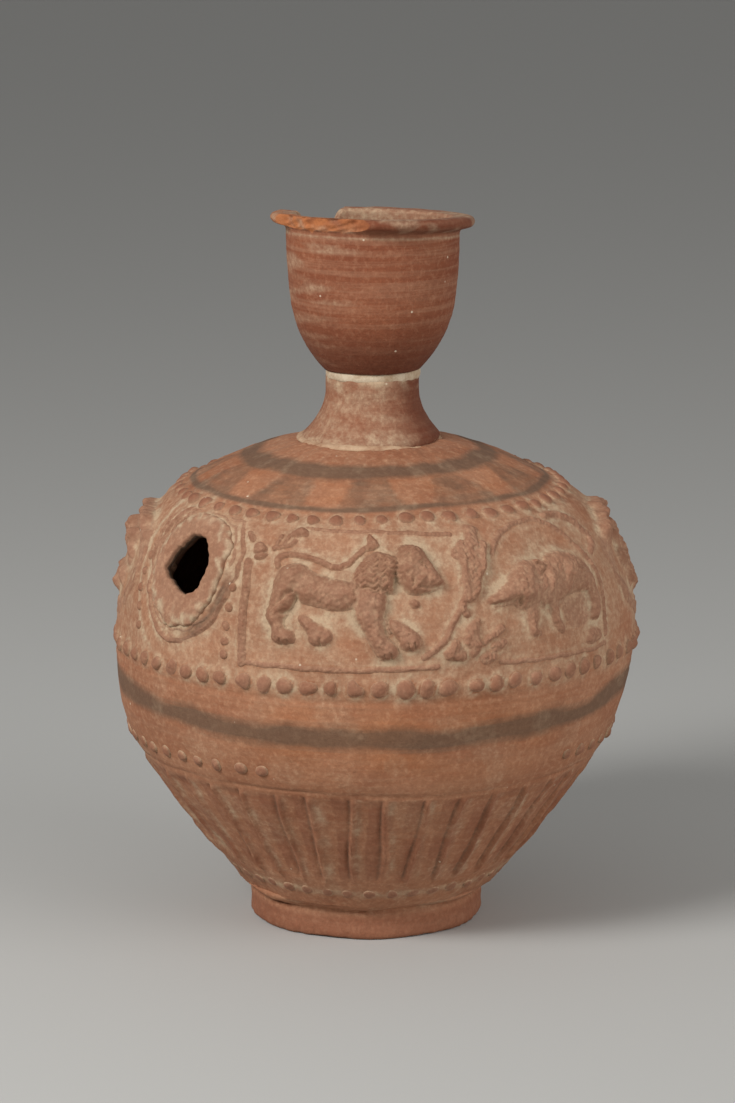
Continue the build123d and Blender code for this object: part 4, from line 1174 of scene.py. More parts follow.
wall_clay = terracotta(
    "pressed_terracotta_body", light="#A57355", dark="#926044", red="#8C5239", worn="#7E4A35",
    streaks=0.3, flecks=0.26,
)
# On the cup and neck the worn colour lays painted shade: low on the cup together with darker clay, on the
# flange past the chip and on the neck's side away from the key lamp
cup_clay = terracotta(
    "thrown_terracotta_cup", light="#8A5136", dark="#7A422B", red="#703924", worn="#5C3121",
    streaks=0.36, flecks=0.14,
)
sprig_clay = terracotta(
    "moulded_terracotta_sprigs", light="#A1785F", dark="#90684F", red="#8A5841", worn="#7E4A35",
    streaks=0.05, flecks=0.3,
)
raw_clay = terracotta(
    "smeared_raw_clay", light="#98694E", dark="#885A40", red="#804E36", worn="#7E4A35",
    streaks=0.1, flecks=0.3,
)
collar_plaster = plaster("old_plaster_fill", pale="#D0C1A8", shaded="#A0866A")
luting_slip = plaster("pale_luting_slip", pale="#BFA284", shaded="#93694E")


def turns(count):
    """Even azimuths round the body."""
    return np.arange(count) * 360 / count


def wall_block(clay, azimuth, along):
    """Outside wall points with their crust, worn tops and paint, and painted shade in the flutes' furrows and
    at the roundel's lower right.
    """
    azimuth, along = np.broadcast_arrays(azimuth[None, :], along[:, None])
    skin = wall_skin(azimuth, along) + sample(fillet, azimuth, along)
    radius, height = on_line(outside, along, skin)
    # Lime beside the flutes' ridges, in patches, over the frieze's ground and round the foot's pearls
    gap = flute_gap(azimuth, along)[1]
    fluted = soft_span(along, (flute_low - 2.0, flute_low + 4.0), (flute_high - 1.0, flute_high + 1.0))
    beside = bell(gap, 2.2, 1.5) * fluted
    patches = smooth_step(-0.3, 1.1, hand_wave(azimuth, along, 18.0, 33))
    crust = sample(canvas_crust, azimuth, along) + (0.12 + 0.32 * patches) * beside
    crust = crust + 0.12 * smooth_step(0.4, 1.4, hand_wave(azimuth, along, 26.0, 31))
    frieze = soft_span(along, along_at([104.0, 110.0]), along_at([154.0, 157.0]))
    crust = crust + 0.2 * frieze * np.clip(0.8 + 0.4 * hand_wave(azimuth, along, 30.0, 38), 0.2, 1.4)
    crust = crust + 0.4 * bell(along, along_at(FOOT_PEARL_LEVEL), 2.2)
    # Ridges rubbed red, and dark paint in the furrows that is partly dirt and partly painted shade
    bared = np.clip(0.8 + 0.4 * hand_wave(azimuth, along, 24.0, 34), 0.1, 1.2)
    tops = 0.55 * fluted * (1 - smooth_step(1.0, 4.0, gap)) * bared
    furrow = bell(gap, -1.3, 0.8) * fluted
    furrow_dirt_and_shade = np.where(furrow > 0.05, -3.4 + 3.2 * furrow, NO_PAINT)
    # Lime in two lines round the roundel at its left, and at its lower right a dark patch that is partly soil
    # and partly painted shade
    across = np.radians(from_spout(azimuth)) * girth(along)
    ring_gap = plate_gap(across, along)
    lines = 0.45 * bell(ring_gap, 6.4, 0.8) + 0.6 * bell(ring_gap, 13.4, 0.9)
    crust = crust + lines * smooth_step(-4.0, -14.0, across) * frieze
    soil = plate_soil_and_shade(azimuth, along)
    crust = crust * (1 - 0.8 * smooth_step(-1.2, 0.4, soil))
    paint = np.maximum(np.maximum(paint_edge(azimuth, along), soil), furrow_dirt_and_shade)
    fresh = orange_glow(azimuth, along)
    return clay.add(place(azimuth, radius, height), crust=crust, tops=tops, paint=paint, fresh=fresh)


def inner_block(clay, azimuth, along):
    """Inside wall points, set in by the wall's thickness."""
    azimuth, along = np.broadcast_arrays(azimuth[None, :], along[:, None])
    radius, height = on_line(outside, along, -WALL + 0.2 * hand_wave(azimuth, along, 50.0, 41))
    return clay.add(place(azimuth, radius, height), crust=0.2)


# Lower bowl: fluted outside, plain inside, with a boss on the foot
bowl = Clay()
FLUTE_COLUMNS = 20
BOSS_COLUMNS = 152
BOSS_DEPTH = 2.0
outer_turns = turns(FLUTE_COUNT * FLUTE_COLUMNS)
inner_turns = turns(BOSS_COLUMNS)
seam_along = along_at(SEAM)
bowl_rows = np.linspace(0.0, seam_along, 100)
bowl_outer = wall_block(bowl, outer_turns, bowl_rows)
bowl.sheet(bowl_outer)
bowl_inner = inner_block(bowl, inner_turns, np.linspace(seam_along, 6.5, 24))
bowl.sheet(bowl_inner)
bowl.zip_rings(bowl_outer[-1], bowl_inner[0], outer_turns, inner_turns, sharp=True)
floor_point = bowl.add(place(np.array([0.0]), np.array([0.0]), np.array([FOOT_TOP + WALL])), crust=0.2)
bowl.fan(bowl_inner[-1], floor_point[0])
boss = []
for height in (FOOT_TOP, FOOT_TOP - BOSS_DEPTH):
    ring = place(inner_turns, np.full(BOSS_COLUMNS, SOCKET_RADIUS - 0.2), np.full(BOSS_COLUMNS, height))
    boss.append(bowl.add(ring))
bowl.zip_rings(boss[0], bowl_outer[0], inner_turns, outer_turns, sharp=True)
bowl.sheet(np.stack([boss[1], boss[0]]))
boss_point = bowl.add(place(np.array([0.0]), np.array([0.0]), np.array([FOOT_TOP - BOSS_DEPTH])))
bowl.fan(boss[1], boss_point[0], flip=True)
bowl.fire("fluted_lower_bowl", ["lower_bowl"], wall_clay)


def hole_edge(angle, margin=0.0):
    """Distance from the hole's middle to its ragged edge, for angles in degrees."""
    ragged = 0.16 * np.sin(np.radians(angle * 7 + 40)) + 0.12 * np.sin(np.radians(angle * 17))
    return outline_reach(SPOUT_HOLE, hole_middle, angle) + ragged + margin


def cut_hole(azimuth, along, margin):
    """Cells left round the hole, and the distance across and along of the points."""
    across = np.radians(from_spout(azimuth))[None, :] * girth(along)[:, None]
    up = np.repeat(along[:, None], len(azimuth), axis=1)
    right = np.roll(across, -1, axis=1)
    cell_x = (across[:-1] + right[:-1] + across[1:] + right[1:]) / 4
    cell_x[:, -1] = np.where(np.abs(across[:-1, -1]) < 30, cell_x[:, -1], 1e3)
    cell_y = (up[:-1] + up[1:]) / 2
    angle, gap = round_hole(cell_x, cell_y)
    keep = gap > hole_edge(angle, margin)
    return keep, across, up


def hole_ring(keep, numbers):
    """Numbers of the points round the removed cells, running anticlockwise seen from outside."""
    lost = np.argwhere(~keep)
    columns = numbers.shape[1]
    following = {}
    for row, column in lost:
        right = (column + 1) % columns
        corners = [*numbers[row, [column, right]], *numbers[row + 1, [right, column]]]
        beside = [(row - 1, column), (row, right), (row + 1, column), (row, (column - 1) % columns)]
        for index, (beside_row, beside_column) in enumerate(beside):
            if keep[beside_row, beside_column]:
                following[corners[index]] = corners[(index + 1) % 4]
    start = min(following)
    ring = [start]
    while following[ring[-1]] != start:
        ring.append(following[ring[-1]])
    return np.array(ring)


# Upper bowl: frieze wall and shoulder, with the pouring hole and the neck's hole
OUTER_MARGIN = 0.3
INNER_MARGIN = 5.0
SEAT_EDGE_LEVEL = 170.5
upper = Clay()
wall_turns = turns(640)
upper_rows = np.concatenate([
    np.linspace(seam_along, along_at(SEAT_EDGE_LEVEL), 128),
    np.linspace(along_at(SEAT_EDGE_LEVEL) + 0.6, outside["along"][-1], 16),
])
upper_outer = wall_block(upper, wall_turns, upper_rows)
inside_turns = turns(200)
inside_rows = np.linspace(outside["along"][-1], seam_along, 44)
upper_inner = inner_block(upper, inside_turns, inside_rows)
outer_keep, outer_across, outer_up = cut_hole(wall_turns, upper_rows, OUTER_MARGIN)
inner_keep, inner_across, inner_up = cut_hole(inside_turns, inside_rows, INNER_MARGIN)
# Points next to the hole are drawn to its ragged edge, outside and inside
rings = []
for block, keep, numbers, across, up, lift, margin in (
    (0, outer_keep, upper_outer, outer_across, outer_up, 0.0, OUTER_MARGIN),
    (1, inner_keep, upper_inner, inner_across, inner_up, -WALL, INNER_MARGIN),
):
    ring = hole_ring(keep, numbers)
    if block == 1:
        ring = ring[::-1]
    flat = ring - numbers.min()
    angle = round_hole(across.reshape(-1)[flat], up.reshape(-1)[flat])[0]
    reach = hole_edge(angle, margin)
    new_along = hole_middle[1] + reach * np.sin(np.radians(angle))
    new_across = hole_middle[0] + reach * np.cos(np.radians(angle))
    radius, height = on_line(outside, new_along, lift)
    upper.points[block][flat] = place(np.degrees(new_across / girth(new_along)), radius, height)
    order = np.argmin(angle)
    rings.append((np.roll(ring, -order), np.maximum.accumulate(np.roll(angle, -order))))
upper.sheet(upper_outer, keep=outer_keep)
upper.sheet(upper_inner, keep=inner_keep)
upper.zip_rings(rings[1][0], rings[0][0], rings[1][1], rings[0][1])
upper.zip_rings(upper_outer[-1], upper_inner[0], wall_turns, inside_turns, sharp=True)
upper.zip_rings(upper_inner[-1], upper_outer[0], inside_turns, wall_turns, sharp=True)
upper.fire("frieze_wall_and_shoulder", ["upper_bowl"], wall_clay)

# Coil smeared over the seam inside
coil = Clay()
COIL_COLUMNS = 160
COIL_REACH = 8.0
coil_turns = turns(COIL_COLUMNS)
coil_rings = []
for step in np.radians(turns(12)):
    run, rise = COIL_REACH * np.cos(step), np.sin(step)
    spread = 1.2 * hand_wave(coil_turns, np.zeros(COIL_COLUMNS), 30.0, 51)
    uneven = 1 + 0.15 * hand_wave(coil_turns, np.full(COIL_COLUMNS, run), 14.0, 52)
    lift = -WALL + 0.4 - (1.4 - 1.4 * rise) * uneven
    radius, height = on_line(outside, seam_along + 4.0 + run + spread, lift)
    coil_rings.append(coil.add(place(coil_turns, radius, height), crust=0.2))
coil_rings.append(coil_rings[0])
coil.sheet(np.stack(coil_rings), flip=True)
coil.fire("smeared_seam_coil", ["seam_coil"], raw_clay)


# A disc is closed to a pinprick at its centre, and evens out towards it between two radii
PIN_RADIUS = 0.01
CALM_CENTRE = (1.0, 11.0)


def thrown(name, node, section, around, columns, material, roughness, seed, mark=None, thin=None):
    """Turned ring from a closed section of radius and height, as uneven as wheel and hand leave it."""
    clay = Clay()
    line = section_line([np.array(section)], step=0.2)
    rows = np.linspace(0.0, line["along"][-1], int(line["along"][-1] / 0.9) + 2)[:-1]
    azimuth, along = np.broadcast_arrays(turns(columns)[None, :], rows[:, None])
    lift = roughness * hand_wave(azimuth, along, 40.0, seed, around)
    lift += 0.3 * roughness * hand_wave(azimuth, along, 6.0, seed + 1, around)
    lift = lift * smooth_step(*CALM_CENTRE, on_line(line, along)[0])
    radius, height = on_line(line, along, lift)
    if thin:
        radius, height = thin(azimuth, radius, height)
    height = np.maximum(height, 0.0)
    marks = mark(azimuth, height) if mark else {}
    numbers = clay.add(place(azimuth, np.maximum(radius, PIN_RADIUS), height), **marks)
    clay.sheet(np.concatenate([numbers, numbers[:1]]))
    clay.fire(name, [node], material)


def neck_dirt_and_shade(azimuth, height):
    """Pale dirt near the neck's foot, smears of plaster under the collar and a dusty face; the side away from
    the key lamp is painted darker and redder with less dust, as painted shade.
    """
    low = smooth_step(SEAT + 6.0, SEAT + 1.0, height)
    patch = smooth_step(0.3, 1.3, hand_wave(azimuth, height, 13.0, 61, NECK_RADIUS))
    smear = smooth_step(NECK_TOP - 6.0, NECK_TOP, height) * patch
    dusty = smooth_step(-0.8, 1.0, hand_wave(azimuth, 3.5 * height, 26.0, 62, NECK_RADIUS))
    toward_key_lamp = smooth_step(-0.1, 0.9, np.cos(np.radians(azimuth - 20.0)))
    return {"crust": (0.25 * low + 0.2 + 0.2 * dusty) * toward_key_lamp + 0.6 * smear, "tops": 0.8 * (1 - toward_key_lamp)}


# The neck flares out towards its foot, below a level and above a low upright edge on the seat
NECK_FOOT = NECK_BASE_RADIUS - 1.8
FLARE_FOOT = 1.8
FLARE_TOP = 190.0
flare = []
for share in np.linspace(0.0, 1.0, 16):
    flare_height = SEAT + FLARE_FOOT + share * (FLARE_TOP - SEAT - FLARE_FOOT)
    flare.append((NECK_RADIUS + (NECK_FOOT - NECK_RADIUS) * (1 - share) ** 2.0, flare_height))
neck_section = [(NECK_FOOT, SEAT - 0.3)] + flare + [
    (NECK_RADIUS, NECK_TOP),
    (NECK_BORE, NECK_TOP),
    (NECK_BORE, SEAT - WALL),
    (NECK_HOLE - 0.3, SEAT - WALL),
    (NECK_HOLE - 0.3, SEAT - 0.3),
    (NECK_FOOT, SEAT - 0.3),
]
thrown(
    "thrown_neck", "neck", neck_section, around=NECK_RADIUS, columns=200, material=cup_clay,
    roughness=0.12, seed=71, mark=neck_dirt_and_shade,
)

bead_edge = NECK_FOOT + BEAD_RADIUS - NECK_BASE_RADIUS


def worn_bead(azimuth, radius, height):
    """Bead worn down to the wall on the side away from the spout."""
    gone = smooth_step(0.1, 0.95, np.cos(np.radians(azimuth - 125.0)))
    return radius - 1.1 * gone * (radius > NECK_FOOT), height - 0.75 * gone * (height > SEAT)


bead_section = [
    (NECK_FOOT - 1.0, SEAT - 0.4),
    (bead_edge + 0.3, SEAT - 0.4),
    (bead_edge, SEAT + 0.15),
    (bead_edge - 0.5, SEAT + 0.65),
    (NECK_FOOT + 0.1, SEAT + 1.15),
    (NECK_FOOT - 1.0, SEAT + 1.3),
    (NECK_FOOT - 1.0, SEAT - 0.4),
]
thrown(
    "luting_bead", "neck_luting_bead", bead_section, around=BEAD_RADIUS, columns=200, material=luting_slip,
    roughness=0.3, seed=74, thin=worn_bead,
)

FILL_RADIUS = COLLAR_RADIUS - 0.5
CUP_SEAT = CUP_BASE - 1.0
FILL_FOOT = NECK_TOP - 0.8
collar_section = [
    (NECK_BORE + 1.0, FILL_FOOT - 0.2),
    (FILL_RADIUS - 0.5, FILL_FOOT - 0.4),
    (FILL_RADIUS - 0.1, FILL_FOOT + 0.3),
    (FILL_RADIUS, FILL_FOOT + 1.4),
    (FILL_RADIUS - 0.1, CUP_SEAT - 0.4),
    (FILL_RADIUS - 0.4, CUP_SEAT + 0.3),
    (NECK_BORE + 1.0, CUP_SEAT + 0.3),
    (NECK_BORE + 1.0, FILL_FOOT - 0.2),
]
thrown(
    "plaster_fill_collar", "plaster_collar", collar_section, around=NECK_RADIUS, columns=200,
    material=collar_plaster, roughness=0.2, seed=77,
)


def foot_dust_and_tone(azimuth, height):
    """Pale dust on the foot's upper side, and a darker, redder tone towards its bottom."""
    patch = smooth_step(-0.6, 0.8, hand_wave(azimuth, height, 20.0, 81, FOOT_RADIUS))
    crust = 0.35 * smooth_step(8.0, 13.0, height) * patch
    return {"crust": crust, "tops": 0.75 * smooth_step(10.0, 7.0, height)}


foot_section = [
    (PIN_RADIUS, 0.0),
    (FOOT_RADIUS - 2.8, 0.0),
    (FOOT_RADIUS - 1.9, 0.8),
    (FOOT_RADIUS - 1.7, 2.8),
    (FOOT_RADIUS - 1.8, 5.6),
    (FOOT_RADIUS - 1.6, 8.0),
    (FOOT_RADIUS - 1.8, 9.4),
    (FOOT_RADIUS - 2.7, 10.5),
    (FOOT_RADIUS - 1.2, 11.2),
    (FOOT_RADIUS + 0.9, 12.0),
    (FOOT_TOP_RADIUS + 0.5, 13.0),
    (FOOT_TOP_RADIUS + 1.1, FOOT_TOP + 0.2),
    (SOCKET_RADIUS, FOOT_TOP),
    (SOCKET_RADIUS, FOOT_TOP - 2.0),
    (PIN_RADIUS, FOOT_TOP - 2.0),
    (PIN_RADIUS, 0.0),
]
thrown(
    "thrown_foot", "foot_disc", foot_section, around=FOOT_RADIUS, columns=320, material=wall_clay,
    roughness=0.3, seed=84, mark=foot_dust_and_tone,
)

# Mouth cup: thrown, with a flange that has lost runs of its edge and a notch in its wall. Spans are degrees
# from the spout, and the rim's raise and tilts are millimetres
CUP_BASE_RADIUS = 17.1
CUP_RADIUS = 30.5
CUP_WALL = 3.8
CUP_BEND = (28.8, CUP_BASE + 22.5)
CUP_STEP = 0.1
CHIP_SPAN = (-20.0, 50.0)
CHIP_DROP = 0.4
NOTCH_SPAN = (-108.0, -60.0)
NOTCH_DEPTH = 12.0
RIM_RAISE = 2.0
RIM_TILT = 2.1
RIM_CANT = 0.8
FLANGE_LOST = (-132.0, -122.0)
cup_outside = bowed((CUP_BASE_RADIUS, CUP_SEAT), CUP_BEND, 1.9, 30)
cup_inside = bowed((CUP_BEND[0] - CUP_WALL, CUP_BEND[1]), (NECK_BORE + 2.0, CUP_BASE + 6.0), -1.7, 20)
cup_points = np.concatenate([
    cup_outside,
    bowed((28.9, CUP_BASE + 23.5), (CUP_RADIUS, RIM - 6.0), 0.45, 24),
    np.array([
        (CUP_RADIUS + 0.3, RIM - 5.1),
        (CUP_RADIUS + 1.2, RIM - 4.5),
        (FLANGE_RADIUS - 2.4, RIM - 4.0),
        (FLANGE_RADIUS - 0.9, RIM - 3.5),
        (FLANGE_RADIUS - 0.2, RIM - 2.6),
        (FLANGE_RADIUS - 0.1, RIM - 1.5),
        (FLANGE_RADIUS - 0.8, RIM - 0.4),
        (FLANGE_RADIUS - 2.0, RIM),
        (CUP_RADIUS + 0.6, RIM - 0.1),
        (CUP_RADIUS - CUP_WALL + 1.4, RIM - 0.3),
        (CUP_RADIUS - CUP_WALL + 0.3, RIM - 1.2),
    ]),
    cup_inside,
    np.array([
        (NECK_BORE + 2.0, CUP_SEAT - 0.2),
        (CUP_BASE_RADIUS - 0.8, CUP_SEAT - 0.2),
        (CUP_BASE_RADIUS, CUP_SEAT),
    ]),
])
cup = Clay()
cup_line = section_line([cup_points], soften=0.22, step=CUP_STEP)
# Rows stand closer at the flange
spacing = np.where(cup_line["z"] > RIM - 6.0, 0.45, 1.0)
row_count = np.cumsum(CUP_STEP / spacing)
cup_rows = np.interp(np.arange(0.0, row_count[-1]), row_count, cup_line["along"])
cup_turns = turns(480)
azimuth, along = np.broadcast_arrays(cup_turns[None, :], cup_rows[:, None])
lift = 0.12 * hand_wave(azimuth, along, 60.0, 91, CUP_RADIUS)
lift = lift + 0.035 * hand_wave(azimuth, 4.0 * along, 12.0, 92, CUP_RADIUS)
radius, height = on_line(cup_line, along, lift)
# How far each place lies in the chipped run of the flange and in the notch
signed = from_spout(azimuth)
wobble = 2.0 * hand_wave(azimuth, 0.0 * along, 8.0, 93, CUP_RADIUS)
in_chip = smooth_step(CHIP_SPAN[0] - 1.5, CHIP_SPAN[0] + 1.5, signed + wobble)
in_chip = in_chip * (1 - smooth_step(CHIP_SPAN[1] - 12.0, CHIP_SPAN[1] + 2.0, signed + wobble))
in_notch = smooth_step(NOTCH_SPAN[0] - 4.0, NOTCH_SPAN[0] + 17.0, signed + wobble)
in_notch = in_notch * (1 - smooth_step(NOTCH_SPAN[1] - 6.0, NOTCH_SPAN[1] + 4.0, signed + wobble))
# The flange is cut back to a crumbled face in the chip, and to the wall before the notch
crumble = 0.22 * hand_wave(azimuth, 2.0 * height, 6.0, 94, CUP_RADIUS)
crumble = crumble + 0.06 * hand_wave(azimuth, height, 1.8, 95, CUP_RADIUS)
chip_limit = CUP_RADIUS + 0.7 + 0.7 * (height - RIM + 5.4) / 5.4 + crumble
chip_limit = np.where(height > RIM - 5.8, chip_limit, FLANGE_RADIUS + 5.0)
chip_limit = FLANGE_RADIUS * (1 - in_chip) + np.minimum(chip_limit, FLANGE_RADIUS) * in_chip
broken = np.maximum(radius - chip_limit, 0.0) * (in_chip > 0.01)
radius = radius - broken
in_gap = smooth_step(FLANGE_LOST[0], FLANGE_LOST[1], signed + wobble) * (signed < NOTCH_SPAN[1])
gap_limit = FLANGE_RADIUS + (CUP_RADIUS - 0.4 + 0.5 * crumble - FLANGE_RADIUS) * in_gap
radius = np.where(height > RIM - 6.4, np.minimum(radius, np.maximum(gap_limit, CUP_RADIUS - 0.6)), radius)
# The rim is lower in the chip, and broken far down in the notch
chip_top = CHIP_DROP * in_chip * (1 - smooth_step(-6.0, 44.0, signed)) - 0.3 * crumble * in_chip
jagged = crumble + 0.9 * hand_wave(azimuth, 0.0 * height, 9.0, 96, CUP_RADIUS)
notch_top = NOTCH_DEPTH * in_notch - in_notch * jagged
lost = np.maximum(height - RIM + np.maximum(chip_top, notch_top), 0.0)
lost = lost * (np.maximum(in_chip, in_notch) > 0.01)
radius = np.where(lost * (in_notch > 0.01) > 0, np.minimum(radius, CUP_RADIUS - 0.2), radius)
height = height - lost
# Top of the flange, inside of the cup, and fresh clay where the flange is broken or rubbed
edge_along = cup_line["along"][np.argmax(cup_line["r"])]
lip_gap = np.hypot(cup_line["r"] - CUP_RADIUS + CUP_WALL - 1.4, cup_line["z"] - RIM + 0.3)
lip_along = cup_line["along"][np.argmin(lip_gap)]
on_top = smooth_step(edge_along + 1.5, edge_along + 3.5, along)
within = smooth_step(lip_along - 1.5, lip_along + 0.5, along)
fresh = np.clip(broken / 0.15, 0.0, 1.0) * (1 - 0.45 * smooth_step(5.0, 45.0, signed))
fresh = np.maximum(fresh, 0.7 * np.clip(lost / 0.3, 0.0, 1.0) * (in_chip > 0.1))
rubbed = soft_span(signed, (-80.0, -60.0), (-24.0, -14.0)) * smooth_step(RIM - 5.0, RIM - 3.8, height)
fresh = np.maximum(fresh, 0.55 * rubbed * (radius > CUP_RADIUS + 1.0))
fresh = fresh * np.clip(0.85 + 0.25 * hand_wave(azimuth, height, 7.0, 97, CUP_RADIUS), 0.2, 1.1)
# Dust inside and on the flange, a pale turned line under it, and faint pale streaks on the spout's side
streak = smooth_step(0.0, 1.3, hand_wave(azimuth, 8.0 * along, 40.0, 98, CUP_RADIUS))
streak = streak * smooth_step(0.2, 1.0, np.cos(np.radians(signed + 8.0))) * (1 - on_top)
streak = streak * (0.35 + 0.65 * smooth_step(CUP_BASE + 8.0, CUP_BASE + 26.0, height))
turned = bell(height, RIM - 6.8, 0.4) * (1 - on_top)
rim_dirt = smooth_step(-0.2, 1.0, hand_wave(azimuth, height, 11.0, 99, CUP_RADIUS))
rim_dirt = rim_dirt * smooth_step(RIM - 5.4, RIM - 4.4, height)
shaded = smooth_step(0.2, 1.0, np.cos(np.radians(signed - 160.0)))
dusty = 0.15 * on_top + (0.38 - 0.22 * shaded) * within + 0.28 * streak
dusty = dusty + 0.4 * turned + 0.3 * rim_dirt * (1 - within)
dusty = dusty + 0.5 * np.clip(lost / 0.3, 0.0, 1.0) * (in_notch > 0.05) * (1 - within)
# Darker low on the cup, partly darker clay and partly painted shade, and painted shade on the flange past the
# chip
foot_shade = smooth_step(CUP_BASE + 24.0, CUP_BASE + 1.0, height) * (1 - within)
flange_shade = smooth_step(RIM - 5.8, RIM - 4.8, height) * smooth_step(35.0, 60.0, signed) * (1 - within)
# This painted shade is carried by the worn tops mark
worn = np.maximum(0.95 * foot_shade, 0.6 * flange_shade)
marks = {"crust": dusty * (1 - 0.85 * np.clip(fresh, 0.0, 1.0)), "fresh": fresh, "tops": worn}
# The cup was set on a little askew, so its rim stands higher towards the side that shows the lion
from_view = np.radians(azimuth - VIEW_AZIMUTH)
askew = RIM_RAISE + (RIM_TILT * np.cos(from_view) - RIM_CANT * np.sin(from_view)) * radius / FLANGE_RADIUS
height = height + askew * smooth_step(CUP_BASE + 10.0, RIM - 6.0, height)
numbers = cup.add(place(azimuth, radius, height), **marks)
cup.sheet(np.concatenate([numbers, numbers[:1]]))
cup.fire("thrown_mouth_cup", ["mouth_cup"], cup_clay)


def sprig(name, node, motif):
    """Moulded figure from its canvas window: a closed skin whose edge dives under the wall."""
    rows, columns, height = motif
    azimuth, along = np.broadcast_arrays(columns[None, :] * CANVAS_TURN, canvas_along[rows][:, None])
    solid = height > 0.06
    keep = solid[:-1, :-1] | solid[1:, :-1] | solid[:-1, 1:] | solid[1:, 1:]
    skin = wall_skin(azimuth, along)
    top = skin + height - 0.25 * np.clip(1 - height / 0.35, 0.0, 1.0)
    # Dark patch at the roundel's lower right, partly soil and partly painted shade, which also clears the
    # lime there
    soil = plate_soil_and_shade(azimuth, along)
    crust = (0.1 + sample(canvas_crust, azimuth, along)) * (1 - 0.8 * smooth_step(-1.2, 0.4, soil))
    tops = sample(canvas_tops, azimuth, along)
    clay = Clay()
    layers = []
    for lift in (top, skin - 0.6):
        radius, level = on_line(outside, along, lift)
        layers.append(place(azimuth, radius, level))
    used = np.zeros(solid.shape, bool)
    for row_shift in (0, 1):
        for column_shift in (0, 1):
            used[row_shift:keep.shape[0] + row_shift, column_shift:keep.shape[1] + column_shift] |= keep
    numbers = []
    for points in layers:
        block = np.full(solid.shape, -1)
        block[used] = clay.add(points[used], crust=crust[used], tops=tops[used], paint=soil[used])
        numbers.append(block)
    upper_numbers, lower_numbers = numbers
    clay.sheet(upper_numbers, closed=False, keep=keep)
    clay.sheet(lower_numbers, closed=False, keep=keep, flip=True)
    padded = np.pad(keep, 1)
    edges = (
        (keep & ~padded[:-2, 1:-1], (0, 0), (0, 1)),
        (keep & ~padded[1:-1, 2:], (0, 1), (1, 1)),
        (keep & ~padded[2:, 1:-1], (1, 1), (1, 0)),
        (keep & ~padded[1:-1, :-2], (1, 0), (0, 0)),
    )
    for bare, start, end in edges:
        row, column = np.nonzero(bare)
        first = (row + start[0], column + start[1])
        last = (row + end[0], column + end[1])
        side = [lower_numbers[first], lower_numbers[last], upper_numbers[last], upper_numbers[first]]
        clay.quads.append(np.column_stack(side))
    clay.fire(name, [node], sprig_clay)


for node, motif in drawn.items():
    sprig(f"sprig_{node}", node, motif)


def pearl_row(name, node, places, segments=20):
    """Row of small clay pellets pressed on the wall, each a little out of round and worn."""
    clay = Clay()
    dice = np.random.default_rng(len(name) + 5)
    swing = turns(segments)
    stain = PEARL_STAIN.get(node, 0.35)
    for azimuth, along, size, rise in places:
        dents = dice.normal(size=4)
        shape = 1 + 0.08 * dents[0] * np.cos(np.radians(2 * swing + 90 * dents[1]))
        shape = shape + 0.05 * dents[2] * np.cos(np.radians(3 * swing + 90 * dents[3]))
        skin = wall_skin(np.array([azimuth]), np.array([along]))[0]
        rings = []
        for latitude in (-24.0, 0.0, 18.0, 36.0, 54.0, 70.0, 82.0):
            level = np.radians(latitude)
            across = size * np.cos(level) * shape * np.cos(np.radians(swing))
            up = size * np.cos(level) * shape * np.sin(np.radians(swing))
            tilt = 0.12 * dents[1] * np.cos(np.radians(swing + 60 * dents[3]))
            lift = skin + rise * np.sin(level) + tilt * np.sin(level)
            radius, height = on_line(outside, along + up, lift)
            point = place(azimuth + np.degrees(across / girth(along + up)), radius, height)
            crust = 0.9 * smooth_step(30.0, -5.0, latitude)
            tops = stain * smooth_step(20.0, 60.0, latitude)
            rings.append(clay.add(point, crust=crust, tops=tops))
        clay.sheet(np.stack(rings))
        for lift, ring, flip in ((skin + rise, rings[-1], False), (skin - 0.6, rings[0], True)):
            radius, height = on_line(outside, np.array([along]), lift)
            centre = clay.add(place(np.array([azimuth]), radius, height), tops=stain)
            clay.fan(ring, centre[0], flip=flip)
    clay.fire(name, [node], sprig_clay)


for node, places in pearls.items():
    pearl_row(f"pellets_{node}", node, places)

# Roundel round the pouring hole: an oval plate with the ragged hole in it
plate = Clay()
swing = turns(220)
inner_reach = hole_edge(swing)
outer_reach = outline_reach(PLATE_EDGE, hole_middle, swing)
outer_reach = outer_reach + 0.35 * hand_wave(swing, 0.0 * swing, 12.0, 104, 20.0)
outer_reach = outer_reach + 0.12 * hand_wave(swing, 0.0 * swing, 3.0, 105, 20.0)
